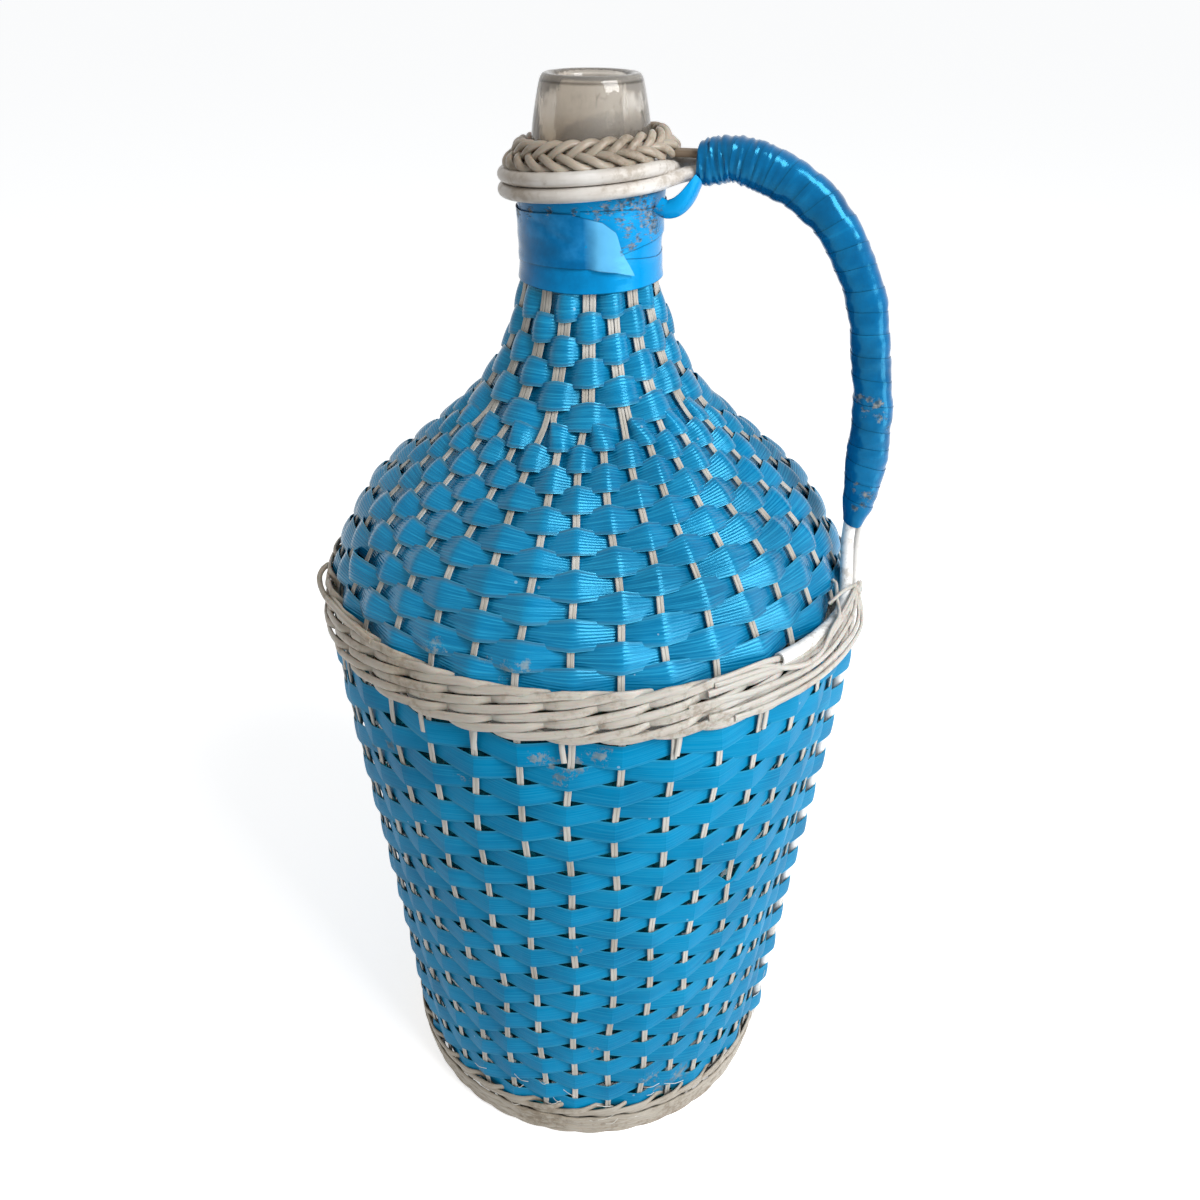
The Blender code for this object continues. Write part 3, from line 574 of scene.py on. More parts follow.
def use(tree, shared, **inputs):
    """A shared group's outputs in this tree."""
    return [Value(socket) for socket in node(tree, "Group", inputs, node_tree=shared).outputs]


def plain(name, **sockets):
    """A material with its shader's own sockets set, and its tree."""
    material = bpy.data.materials.new(name)
    material.use_nodes = True
    shader = material.node_tree.nodes["Principled BSDF"]
    for socket, value in sockets.items():
        shader.inputs[socket.replace("_", " ")].default_value = value
    return material, material.node_tree, shader


def wire(shader, **values):
    """Links values to the shader's sockets."""
    for socket, value in values.items():
        value.tree.links.new(value.socket, shader.inputs[socket.replace("_", " ")])


def bump(shader, height, strength, distance):
    inputs = {"Strength": strength, "Distance": distance, "Height": height}
    wire(shader, Normal=Value(node(height.tree, "Bump", inputs).outputs[0]))


def worn_spots(place, spots, level=1.0):
    """A mask of ragged flecks about places, each with a radius; level draws them out sideways."""
    flecks = (noise(mapped(place, (1, 1, level)), scale=430.0, detail=6.0, roughness=0.72) - 0.5) * 3.4
    near = None
    for spot, radius in spots:
        away = node(place.tree, "VectorMath", {0: place, 1: spot}, operation="DISTANCE").outputs["Value"]
        close = (1.0 - Value(away).by("DIVIDE", radius)).clamped()
        near = close if near is None else near.by("MAXIMUM", close)
    mask = ((near + flecks - 0.56) * 3.0).clamped()
    return mask * (near * 5.0).clamped()


# Colours of painted shade with grime in a strip's hollows, of dirt, of the painted shade along a lapped edge,
# and of the soil that shows in worn tape.
HOLLOW_SHADE_AND_GRIME = (0.085, 0.090, 0.075)
SPECK = (0.55, 0.66, 0.72)
DRY_SOIL = ((0.38, (0.15, 0.14, 0.10)), (0.62, (0.36, 0.34, 0.26)))
LAP_SHADE = (0.0, 0.030, 0.070)
TAPE_SOIL = ((0.40, (0.030, 0.030, 0.028)), (0.50, (0.15, 0.12, 0.085)), (0.62, (0.31, 0.27, 0.22)))


def strip_material(name, dye, roughness, lines, depth, edge, dust, spots=(), ribs=0.0, grime=0.0, **sockets):
    """Plastic strip: fibre lines or ribs along it, a painted highlight along its edges, uneven dye, dust and
    specks.
    Painted highlight streaks lie on the ribs' crests, and painted shade with grime darkens the hollows on the
    left.

    The dye is three colours, dark, usual and pale; lines are the fibre lines and ribs the ribs across it.
    Grime is how strong the painted shade with grime is.
    """
    dark, base, pale = dye
    material, tree, shader = plain(name, **sockets)
    strip, place = coordinates(tree)
    [fibres] = use(tree, FIBRES, Lines=lines, Along=18.0, Map=strip)
    [rim] = use(tree, EDGES, Width=edge, Map=strip)
    dirt, specks = use(tree, DUST, Amount=dust, Size=26.0)
    clouds = noise(place, scale=38.0, detail=3.0)
    colour = ramp(clouds, (0.30, dark), (0.62, base))
    colour = mixed(ramp(fibres, (0.45, 0.0), (0.78, 0.5)), colour, pale)
    height = fibres
    if ribs:
        wave, streak_highlight = use(tree, RIBS, Ribs=ribs, Map=strip)
        # Painted highlight: pale streaks on the rib crests.
        colour = mixed(streak_highlight * 0.32, colour, pale)
        height = wave + height * 0.4
    # Painted shade, with some grime, darkens the hollows along the strip's edges, most towards the left.
    if grime:
        [hollow] = use(tree, EDGES, Width=0.30, Map=strip)
        reach = (from_left(place, -0.07, 0.05) + 0.25).clamped()
        hollow_shading = hollow * reach * grime
        colour = mixed(hollow_shading * (clouds * 1.6).clamped(), colour, HOLLOW_SHADE_AND_GRIME)
    # A painted highlight: a pale line along both edges, broken by the fibre lines.
    colour = mixed((rim * (fibres * 1.3)).clamped(), colour, pale)
    mask = dirt * 0.6
    if spots:
        mask = mask.by("MAXIMUM", worn_spots(place, spots))
    colour = mixed(mask * 0.55, colour, ramp(noise(place, scale=300.0, detail=3.0), *DRY_SOIL))
    colour = mixed(specks * 0.3, colour, SPECK)
    rough = fibres * 0.22 + (roughness - 0.11) + mask * 0.35
    wire(shader, Base_Color=colour, Roughness=rough.clamped())
    bump(shader, height + mask * 0.3, strength=depth, distance=0.0003)
    return material


def tape_material(name, dye, spots, line, level, painted_light=None, **sockets):
    """Shiny plastic tape: a dark line along each lapped edge, stretch marks, scuffs and worn holes.

    Where painted light is given, it changes to a third, paler colour from one place to another along X.
    """
    dark, base, pale = dye
    material, tree, shader = plain(name, **sockets)
    strip, place = coordinates(tree)
    [fibres] = use(tree, FIBRES, Lines=5.0, Along=30.0, Map=strip)
    [lap] = use(tree, EDGES, Width=line, Map=strip)
    dirt = use(tree, DUST, Amount=0.30, Size=60.0)[0]
    clouds = noise(place, scale=70.0, detail=4.0, roughness=0.6)
    colour = ramp(clouds, (0.34, dark), (0.62, base))
    colour = mixed(ramp(fibres, (0.58, 0.0), (0.82, 0.35)), colour, pale)
    if painted_light:
        # Painted light: paler towards the right, broken by the clouds.
        left, right, lit_colour = painted_light
        share = 1.0 - from_left(place, left, right) + (clouds - 0.5) * 0.9
        colour = mixed(share.clamped(), colour, lit_colour)
    colour = mixed(lap * 0.85, colour, LAP_SHADE)
    mask = (dirt * 0.45).by("MAXIMUM", worn_spots(place, spots, level))
    colour = mixed(mask * 0.82, colour, ramp(noise(place, scale=700.0, detail=3.0), *TAPE_SOIL))
    rough = mask * 0.45 + clouds * 0.20 + 0.10
    wire(shader, Base_Color=colour, Roughness=rough.clamped())
    bump(shader, clouds * 0.6 - mask * 0.5 + fibres * 0.25, strength=0.45, distance=0.0004)
    return material


def shaded_aged_material(name, fresh_and_lit, aged_and_shaded, grime, roughness, depth, **sockets):
    """Pale plastic strand or tube: whiter on the right in painted light, browner on the left in painted shade
    with yellowing, with grime along it.
    """
    material, tree, shader = plain(name, **sockets)
    strip, place = coordinates(tree)
    [fibres] = use(tree, FIBRES, Lines=4.0, Along=40.0, Map=strip)
    wide = noise(place, scale=45.0, detail=4.0, roughness=0.6)
    fine = noise(place, scale=420.0, detail=4.0, roughness=0.7)
    # Painted light and shade: the fresh colour towards the right, the darker aged colour towards the left,
    # broken by a slow noise.
    share = from_left(place, -0.06, 0.07) + (wide - 0.5) * 1.1
    colour = mixed(share.clamped(), fresh_and_lit, aged_and_shaded)
    dirt = ((wide * fine - 0.27) * 9.0).clamped()
    colour = mixed(dirt * 0.55, colour, grime)
    colour = mixed(ramp(fibres, (0.35, 0.30), (0.60, 0.0)), colour, grime)
    wire(shader, Base_Color=colour, Roughness=(dirt * 0.3 + roughness).clamped())
    bump(shader, fibres + fine * 0.4, strength=depth, distance=0.0003)
    return material


def about(azimuth, radius, height):
    """A place by its azimuth in degrees and its radius and height in millimetres."""
    turned = math.radians(azimuth)
    return (radius * MM * math.sin(turned), -radius * MM * math.cos(turned), height * MM)


def spots(*rows):
    """Places of wear: azimuth in degrees, then radius, height and the spot's own radius in millimetres."""
    return [(about(*row[:3]), row[3] * MM) for row in rows]


LOWER_DUST = spots(
    (12.9, 92.8, 204.4, 7.5), (17.6, 93, 208.5, 6.0), (9.0, 93, 205.2, 6.0), (18.8, 93, 212, 5.0),
    (5.8, 93, 206.5, 4.5), (10.5, 92.5, 199.4, 5.0), (-9.9, 92, 190.7, 4.5), (10.3, 90.4, 174.9, 4.0),
    (-39.6, 91, 181.2, 8.0), (17.5, 78.4, 57.2, 4.5), (34.5, 76.2, 32.9, 8.5), (44.9, 75.8, 28, 10.0),
    (40.1, 75, 21.9, 9.5), (14, 86, 118, 4.0), (-30, 92, 190, 6.0), (150, 90, 165, 10.0),
    (230, 88, 120, 11.0), (295, 84, 70, 9.0),
)
UPPER_DUST = spots(
    (-1.1, 91.0, 228.8, 4.6), (0.2, 89.5, 234.6, 5.5), (-4.7, 88.5, 237.1, 3.4), (-13.0, 90.7, 230.3, 3.6),
    (-15.5, 89.0, 236.5, 6.2), (3.4, 88.6, 236.8, 4.5), (15.6, 88, 251, 4.0), (99.9, 92.3, 231.5, 7.0),
    (104, 90, 239, 7.0), (120, 93, 240, 9.0), (200, 80, 262, 10.0), (285, 94, 236, 9.0),
)
GRIP_WEAR = spots(
    (87.3, 87.7, 297.9, 3.4), (86.9, 89.7, 294.2, 2.6), (86.8, 90.8, 297.9, 2.6), (87.1, 93.6, 297.1, 3.2),
    (87.5, 95.0, 292.9, 3.4), (88.6, 96.7, 289.8, 3.4), (87.0, 90.5, 269.5, 2.6), (87.0, 90.2, 267.4, 2.0),
    (87.4, 94.4, 266.0, 4.4), (87.0, 93.0, 262.5, 3.0), (86.9, 91.0, 260.8, 2.4), (98, 88, 325, 4.0),
)
NECK_WEAR = spots(
    (18.8, 22.6, 352.0, 4.2), (28.4, 22.6, 353.0, 5.2), (39.3, 22.6, 353.9, 5.6), (45.9, 22.6, 354.8, 5.6),
    (38.7, 22.8, 348.9, 3.6), (44.7, 22.8, 346.4, 4.0), (52.1, 22.8, 343.8, 4.0), (48.5, 22.8, 341.6, 3.4),
    (39.9, 22.8, 340.2, 2.6), (57, 22.6, 353.0, 7.0), (64.2, 22.6, 349.7, 7.6), (69.6, 22.6, 346.5, 6.6),
    (-38, 22.6, 350.4, 3.2), (-56, 22.6, 349.0, 5.0), (-16, 22.9, 351.6, 2.6), (3, 22.9, 352.2, 2.2),
    (160, 22.6, 350, 8.0), (250, 22.6, 340, 6.0),
)

BLUE_GLOSS = (0.10, 0.70, 1.0, 1)
LOWER_BLUE = strip_material(
    "lower_strip_blue", ((0.000, 0.140, 0.300), (0.000, 0.212, 0.425), (0.030, 0.345, 0.545)),
    roughness=0.46, lines=16.0, depth=0.42, edge=0.08, dust=0.30, spots=LOWER_DUST, grime=0.35,
    Specular_IOR_Level=0.09, Specular_Tint=BLUE_GLOSS,
)
UPPER_BLUE = strip_material(
    "upper_strip_blue", ((0.000, 0.105, 0.235), (0.000, 0.165, 0.360), (0.030, 0.390, 0.640)),
    roughness=0.22, lines=12.0, depth=0.30, edge=0.05, dust=0.28, spots=UPPER_DUST, ribs=9.0, grime=0.9,
    Specular_IOR_Level=0.80, Specular_Tint=(0.14, 0.70, 1.0, 1),
)
STAKE_GREY = strip_material(
    "stake_grey", ((0.30, 0.27, 0.22), (0.49, 0.47, 0.43), (0.62, 0.61, 0.58)),
    roughness=0.46, lines=5.0, depth=0.40, edge=0.10, dust=0.40, Specular_IOR_Level=0.30,
)
BEIGE = shaded_aged_material(
    "beige_strand", (0.51, 0.495, 0.46), (0.43, 0.375, 0.30), (0.20, 0.155, 0.105),
    roughness=0.38, depth=0.25, Specular_IOR_Level=0.35, Subsurface_Weight=0.2, Subsurface_Scale=0.0015,
)
COLLAR = shaded_aged_material(
    "collar_strand", (0.47, 0.415, 0.34), (0.25, 0.20, 0.145), (0.155, 0.115, 0.075),
    roughness=0.34, depth=0.15, Specular_IOR_Level=0.45, Subsurface_Weight=0.2, Subsurface_Scale=0.0015,
)
WHITE = shaded_aged_material(
    "white_tube", (0.93, 0.93, 0.92), (0.27, 0.20, 0.130), (0.30, 0.25, 0.19),
    roughness=0.34, depth=0.08, Specular_IOR_Level=0.45,
)
FOOT = shaded_aged_material(
    "foot_strand", (0.45, 0.41, 0.35), (0.34, 0.29, 0.22), (0.17, 0.13, 0.09),
    roughness=0.45, depth=0.4, Specular_IOR_Level=0.3,
)
STRAY = shaded_aged_material(
    "stray_fibre", (0.72, 0.72, 0.70), (0.62, 0.58, 0.50), (0.4, 0.36, 0.3), roughness=0.4, depth=0.1,
)
GRIP_TAPE = tape_material(
    "grip_tape", ((0.000, 0.052, 0.165), (0.000, 0.100, 0.275), (0.006, 0.240, 0.520)),
    GRIP_WEAR, line=0.05, level=1.0, Specular_IOR_Level=0.9, Specular_Tint=BLUE_GLOSS,
)
# The neck tape gets painted light towards its right.
NECK_TAPE = tape_material(
    "neck_tape_blue", ((0.000, 0.065, 0.195), (0.000, 0.145, 0.390), (0.010, 0.350, 0.720)),
    NECK_WEAR, line=0.07, level=3.2, painted_light=(-0.014, 0.016, (0.002, 0.270, 0.620)),
    Specular_IOR_Level=0.45, Specular_Tint=BLUE_GLOSS,
)
# The lifted end has its own material, with a painted highlight on its right part.
FLAP_TAPE = tape_material(
    "flap_tape_blue", ((0.000, 0.068, 0.205), (0.000, 0.150, 0.405), (0.010, 0.350, 0.720)),
    NECK_WEAR, line=0.04, level=3.2, painted_light=(0.004, 0.0085, (0.110, 0.420, 0.720)),
    Specular_IOR_Level=0.55, Specular_Tint=BLUE_GLOSS,
)
CORE = strip_material(
    "core_brown", ((0.10, 0.07, 0.045), (0.20, 0.15, 0.105), (0.30, 0.24, 0.18)),
    roughness=0.6, lines=5.0, depth=0.5, edge=0.05, dust=0.4, Specular_IOR_Level=0.2,
)
MAT = strip_material(
    "mat_beige", ((0.30, 0.26, 0.20), (0.42, 0.37, 0.30), (0.52, 0.47, 0.40)),
    roughness=0.55, lines=3.0, depth=0.5, edge=0.05, dust=0.4, Specular_IOR_Level=0.25,
)

# The glass's colours, painted shades among them, and the heights of the line under its rim and of the band.
CLEAR_GLASS = (0.74, 0.70, 0.64)
BROWN_AND_SHADED_GLASS = (0.33, 0.245, 0.150)
RIM_LINE = 0.3851
RIM_SHADE = (0.09, 0.07, 0.05)
BLUE_SHADE_UNDER_COVER = (0.03, 0.48, 0.60)
BELT_MIDDLE = 0.2225
HALF_BELT = 0.0105
SHADE_BEHIND_BAND = (0.30, 0.23, 0.16)
SCRATCH = (0.16, 0.13, 0.09)


def make_glass_material():
    """Smoky, scratched glass, browner towards its foot, and with painted shade in the same brown towards its
    left.
    """
    material, tree, shader = plain("smoky_glass", Transmission_Weight=0.80, IOR=1.45)
    place = coordinates(tree)[1]
    high = place.part(2)
    clouds = noise(place, scale=55.0, detail=4.0)
    # Browner low down, and towards the left a painted shade in the same brown.
    brown = falling(high, 0.364, 0.377) * 0.7 + from_left(place, -0.016, 0.008) * 0.55
    brown = brown + (clouds - 0.5) * 0.9
    colour = mixed(brown.clamped(), CLEAR_GLASS, BROWN_AND_SHADED_GLASS)
    # A dark, broken line runs round just under the rim.
    rim = clouds + 0.4 - (high - RIM_LINE).by("ABSOLUTE") * 1500.0
    colour = mixed(rim.clamped(), colour, RIM_SHADE)
    # Under the cover the glass gets a painted shade tinted blue by the strips, and behind the band a brown
    # painted shade.
    colour = mixed(falling(high, 0.335, 0.352), colour, BLUE_SHADE_UNDER_COVER)
    belt = (HALF_BELT - (high - BELT_MIDDLE).by("ABSOLUTE")) * 900.0
    colour = mixed(belt.clamped(), colour, SHADE_BEHIND_BAND)
    marks = noise(place, scale=60.0, detail=5.0, roughness=0.7)
    waves = noise(mapped(place, (170, 170, 26)), scale=1.0, detail=3.0)
    tilted = mapped(place, (420, 420, 130), (0.5, 0.4, 0.2))
    inputs = {"Scale": 1.0, "Vector": tilted}
    away = Value(node(tree, "TexVoronoi", inputs, feature="DISTANCE_TO_EDGE").outputs["Distance"])
    scratches = away.by("LESS_THAN", 0.035) * marks.by("GREATER_THAN", 0.56)
    colour = mixed(scratches * 0.5, colour, SCRATCH)
    wire(shader, Base_Color=colour, Roughness=ramp(marks, (0.45, 0.03), (0.75, 0.20)))
    bump(shader, waves - scratches * 0.5, strength=0.75, distance=0.0006)
    return material


GLASS = make_glass_material()


# The bottle, as radius and height: its underside, its lip from the outside in, and its floor inside.

GLASS_WALL = 0.003
GLASS_SIDE = (0.0150, 0.3630)
INSIDE_TOP = 0.355
GLASS_RINGS = 60
GLASS_FACES = 96
PUNT = (
    (0.0005, 0.0148), (0.020, 0.0138), (0.040, 0.0082), (0.0480, 0.0042), (0.0560, 0.0038),
    (0.0640, 0.0040), (0.0690, 0.0068), (0.0706, 0.0105),
)
LIP = (
    (0.0184, 0.3656), (0.0180, 0.3700), (0.0175, 0.3742), (0.0168, 0.3785), (0.0160, 0.3825),
    (0.0155, 0.3846), (0.0151, 0.3858), (0.0145, 0.3867), (0.0138, 0.3870), (0.0122, 0.3869),
    (0.0113, 0.3862), (0.0108, 0.3850), (0.0106, 0.3730), (0.0118, 0.3640), (0.0150, 0.3560),
)
FLOOR_INSIDE = (
    (0.0676, 0.0120), (0.0660, 0.0085), (0.0610, 0.0068), (0.0500, 0.0070), (0.0400, 0.0112),
    (0.020, 0.0168), (0.0005, 0.0178),
)


def make_bottle():
    runs = np.linspace(*(SIDE.run_at(height) for height in GLASS_SIDE), GLASS_RINGS)
    radius, height, out, up = SIDE.at(runs)
    outside = zip(radius - out * (STANDOFF + 0.02 * MM), height - up * STANDOFF)
    outside = [(float(r), float(z)) for r, z in outside]
    inside = [(r - GLASS_WALL, z) for r, z in outside if z < INSIDE_TOP][::-1]
    piece = lathe([*PUNT, *outside, *LIP, *inside, *FLOOR_INSIDE], GLASS_FACES)
    settle(piece, "bottle", GLASS, ["glass_bottle"])


# Stakes. The face of one, as the place across it and how far out it stands there, in millimetres.

STAKE_FACE = (
    (-1, -0.30), (-0.86, -0.04), (-0.5, 0.0), (-0.12, -0.05), (0, -0.22), (0.12, -0.05), (0.5, 0.0),
    (0.86, -0.04), (1.0, -0.30),
)
STAKE_WIDTH = 2.2 * MM
STAKE_THICKNESS = 0.8 * MM
STAKE_TWIST = 0.10 * MM
TWIST_LENGTH = 0.012
STAKE_ROWS = 120


def make_stakes():
    """Thirty-seven grooved strips, each thickened inwards."""
    across, relief = np.array(STAKE_FACE).T
    relief = relief * MM
    for stake in range(STAKES):
        foot = BAND_HIGH - 4 * MM if stake == 0 else 0.0
        rows = STAKE_ROWS if stake else STAKE_ROWS // 2
        run = np.linspace(foot, STAKE_TOP, rows + 1)
        share = gathered(stake, run)
        half = (0.5 * STAKE_WIDTH / MM * (1 - share) + 0.5 * NECK_STAKE / MM * share) * MM
        azimuth = stake_azimuth(stake, run)
        radius = SIDE.at(run)[0]
        twist = STAKE_TWIST * np.sin(run / TWIST_LENGTH + WANDER[2, stake])
        angle = azimuth[:, None] + across[None] * (half / radius)[:, None]
        offset = HALF_STAKE + relief[None] + across[None] * twist[:, None]
        points = SIDE.points(run[:, None], angle, offset)
        # The strip runs up, so its rows are turned for its face to point outwards.
        columns = len(across) - 1
        piece = grid(rows, columns, points[:, ::-1], run, np.linspace(0, 1, columns + 1))
        thicken(piece, STAKE_THICKNESS)
        name = f"stake_strip_{stake + 1:02d}"
        settle(piece, name, STAKE_GREY, [f"stake_{stake + 1:02d}"], smooth=40)


# Woven ribbons. The share of the way to the next crossing that a ribbon lies flat on a stake or on a
# pair, and how much further it goes out over the handle's tube.

STAKE_SPREAD = 0.07
PAIR_SPREAD = 0.27
TUBE_RISE = 2.9 * MM


class Weave:
    """The crossings of one spiral: where each lies, and how far out the ribbon is there."""

    def __init__(self):
        self.crossings = []

    def add(self, run, number, kind, mark, turn, spread, rise=0.0):
        self.crossings.append((run, 1.0 if number % 2 == 0 else -1.0, kind, mark, turn, spread, rise))

    def close(self):
        table = np.array(self.crossings).T
        self.run, self.over, self.kind, self.mark, self.turn, self.spread, self.rise = table
        self.mark = self.mark.astype(int)
        self.jitter = rng.normal(0, 1, (4, len(self.run)))
        return self

    def nearest(self, azimuth, height):
        """The number of the crossing that passes over a stake nearest to a place."""
        place = SIDE.points(self.run, self.azimuth(np.arange(len(self.run)), self.run), 0.0)
        wanted = polar(SIDE.at(SIDE.run_at(height))[0], azimuth, height)
        return int(np.argmin(np.linalg.norm(place - wanted, axis=1) + (self.over < 0)))

    def azimuth(self, crossing, run):
        """A crossing's azimuth at a run, counted on round the turns."""
        stake = stake_azimuth(np.where(self.kind[crossing] == 0, self.mark[crossing], 0), run)
        cluster = HANDLE + LONE * STAKE_STEP + self.mark[crossing] * GROUP_STEP
        return np.where(self.kind[crossing] == 0, stake, cluster) + TURN * self.turn[crossing]


def stake_rows(weave, low, pitch, first, last, high):
    for number in range(first, last):
        stake, row = number % STAKES, number // STAKES
        run = low + pitch * (row + 0.5 + stake / STAKES)
        run += float(slant_rise(run, HANDLE + stake * STAKE_STEP, low, high))
        spread = STAKE_SPREAD
        if low == BAND_HIGH:
            spread += (PAIR_SPREAD - STAKE_SPREAD) * float(gathered(stake, run + 2 * UPPER_PITCH))
        # Where the handle's tube stands in for the stake, the ribbon has further to go round it.
        rise = TUBE_RISE if stake == 0 and run < BAND_HIGH else 0.0
        weave.add(run, number, 0, stake, row, spread, rise)
    return weave


def grouped_rows(weave):
    first = int(GROUP_OF[0])
    number = SINGLE_ROWS * STAKES
    for row in range(SINGLE_ROWS, SINGLE_ROWS + GROUPED_ROWS):
        for mark in range(first, first + GROUPS):
            azimuth = HANDLE + LONE * STAKE_STEP + mark * GROUP_STEP
            run = BAND_HIGH + UPPER_PITCH * (row + 0.5 + (azimuth - HANDLE) / TURN)
            run += float(slant_rise(run, azimuth, BAND_HIGH, STAKE_TOP + SLANT_RAMP))
            weave.add(run, number, 1, mark, row, PAIR_SPREAD)
            number += 1
    return weave


# The places between two crossings where a ribbon has a row of points, and a crossing that no ribbon has.
RIBBON_PARTS = (0, 0.05, 0.11, 0.20, 0.35, 0.5, 0.65, 0.80, 0.89, 0.95)
NOWHERE = -9.0

# How unevenly a ribbon lies, and how far a torn or a proud place reaches, in crossings and metres.
RUN_SHAKE = 0.16 * MM
WIDTH_SHAKE = 0.02
LIFT_SHAKE = 0.10 * MM
LEAN_SHAKE = 0.07 * MM
TORN_LENGTH = 0.22
TORN_DEPTH = 0.9
PROUD_LENGTH = 0.55
PROUD_LIFT = 2.8 * MM
PROUD_LEAN = 1.3 * MM


def ribbon_points(weave, first, last, look):
    """The strip's outer face from one crossing to another."""
    crossing = np.repeat(np.arange(first, last), len(RIBBON_PARTS))
    share = np.tile(RIBBON_PARTS, last - first)
    crossing = np.append(crossing, last - 1)
    share = np.append(share, 1.0)
    near, far = crossing, crossing + 1
    flat = weave.spread[near] * (1 - share) + weave.spread[far] * share
    x = (0.5 - share) / (0.5 - flat)
    tent = x / (1 + np.abs(x) ** 6) ** (1 / 6) * weave.over[near]
    straight = (1 - 2 * share) * weave.over[near]
    straight = straight * (1.06 - 0.06 * np.abs(straight))

    def between(values):
        return values[near] * (1 - share) + values[far] * share

    run = between(weave.run) - look["sag"] * straight + RUN_SHAKE * between(weave.jitter[0])
    half = 1 + look["widen"] * (straight + tent) / 2 + WIDTH_SHAKE * between(weave.jitter[1])
    half = look["width"] / 2 * half
    torn = np.abs(crossing + share - look["torn"])
    half *= 1 - TORN_DEPTH * np.exp(-((torn / TORN_LENGTH) ** 4))
    # Over a stake the strip is creased: it stands out sharply there, and its edges come to a point.
    away = np.where(weave.over[near] > 0, share, 1 - share) / look["crease_reach"]
    creased = np.exp(-away) if look["sharp"] else np.exp(-away * away)
    proud = np.exp(-((np.abs(crossing + share - look["proud"]) / PROUD_LENGTH) ** 2))
    crown = look["crown"] + look["crown_over"] * tent
    reach = np.where(weave.over > 0, look["reach"] + weave.rise, -look["reach"])
    offset = (reach[near] + reach[far]) / 2 + (reach[near] - reach[far]) / 2 * tent * weave.over[near]
    offset = offset + look["middle"] + LIFT_SHAKE * between(weave.jitter[2])
    offset = offset + look["crease"] * creased + PROUD_LIFT * proud
    lean = look["lean"] + LEAN_SHAKE * between(weave.jitter[3]) - PROUD_LEAN * proud
    across = np.linspace(-1, 1, look["columns"] + 1)
    point = np.where(across > 0, look["peak"], look["dip"])[None] * across[None] * creased[:, None]
    where = run[:, None] + across[None] * half[:, None] + point
    bow = crown[:, None] * (1 - across[None] ** 2) - lean[:, None] * across[None]
    azimuth = weave.azimuth(near[:, None], where) * (1 - share[:, None])
    azimuth += weave.azimuth(far[:, None], where) * share[:, None]
    points = SIDE.points(where, azimuth, offset[:, None] + bow)
    return points, lengths(points[:, look["columns"] // 2])


def lay_ribbons(weave, count, look, name, material, node_name):
    """The spiral's ribbon, cut at even shares into as many strips as the count says."""
    last = len(weave.run) - 1
    cuts = [0, *(round(last * at / count) for at in range(1, count)), last]
    for number, (first, last) in enumerate(zip(cuts, cuts[1:])):
        points, along = ribbon_points(weave, first, last, look)
        columns = look["columns"]
        creases = np.arange(0, len(points), len(RIBBON_PARTS)) if look["sharp"] else ()
        piece = grid(len(points) - 1, columns, points, along, np.linspace(0, 1, columns + 1), creases)
        thicken(piece, look["thickness"])
        settle(piece, f"{name}_{number + 1}", material, [f"{node_name}_{number + 1}"], smooth=55)


def make_ribbons():
    last = LOWER_ROWS * STAKES + 22
    weave = stake_rows(Weave(), BORDER_TOP, LOWER_PITCH, -14, last, BAND_LOW).close()
    look = {
        "width": 8.3 * MM, "widen": 0.0, "sag": 0.85 * MM, "crown": 0.10 * MM, "crown_over": 0.08 * MM,
        "middle": 0.10 * MM, "reach": 1.15 * MM, "lean": 0.30 * MM, "columns": 6, "peak": 0.0, "dip": 0.0,
        "crease": 0.12 * MM, "crease_reach": 0.10, "proud": NOWHERE, "sharp": True,
        "thickness": 0.3 * MM, "torn": weave.nearest(math.radians(45), 0.1364),
    }
    lay_ribbons(weave, 4, look, "lower_strip", LOWER_BLUE, "lower_ribbon")
    weave = stake_rows(Weave(), BAND_HIGH, UPPER_PITCH, -30, SINGLE_ROWS * STAKES, STAKE_TOP + SLANT_RAMP)
    weave = grouped_rows(weave).close()
    look = {
        "width": 8.3 * MM, "widen": 0.10, "sag": 0.15 * MM, "crown": 0.32 * MM, "crown_over": 0.26 * MM,
        "middle": 0.0, "reach": 1.35 * MM, "lean": 0.0, "columns": 12, "peak": 0.42 * MM, "dip": 0.15 * MM,
        "crease": 0.30 * MM, "crease_reach": 0.24, "proud": weave.nearest(math.radians(-46), 0.2462),
        "sharp": False, "thickness": 0.3 * MM, "torn": NOWHERE,
    }
    lay_ribbons(weave, 3, look, "upper_strip", UPPER_BLUE, "upper_ribbon")


# Band and border. How far a strand has risen on its way past three stakes: one inside the band, the
# lowest one and the highest one.

INNER_RISES = ((0, 0), (0.4, -1), (2.6, 1), (3, 0))
LOWEST_RISES = ((0, 0.1), (0.6, -0.42), (1.1, -0.42), (2.6, 1), (3, 0.1))
HIGHEST_RISES = ((0, -0.1), (0.4, -1), (1.9, 0.42), (2.4, 0.42), (3, -0.1))
BORDER_FOOT = 0.0135
FOOT_BANDS_FROM = 0.0046
FOOT_BAND_STEP = 2.45 * MM
ROPE_RADIUS = 71.9 * MM
ROPE_HEIGHT = 2.45 * MM


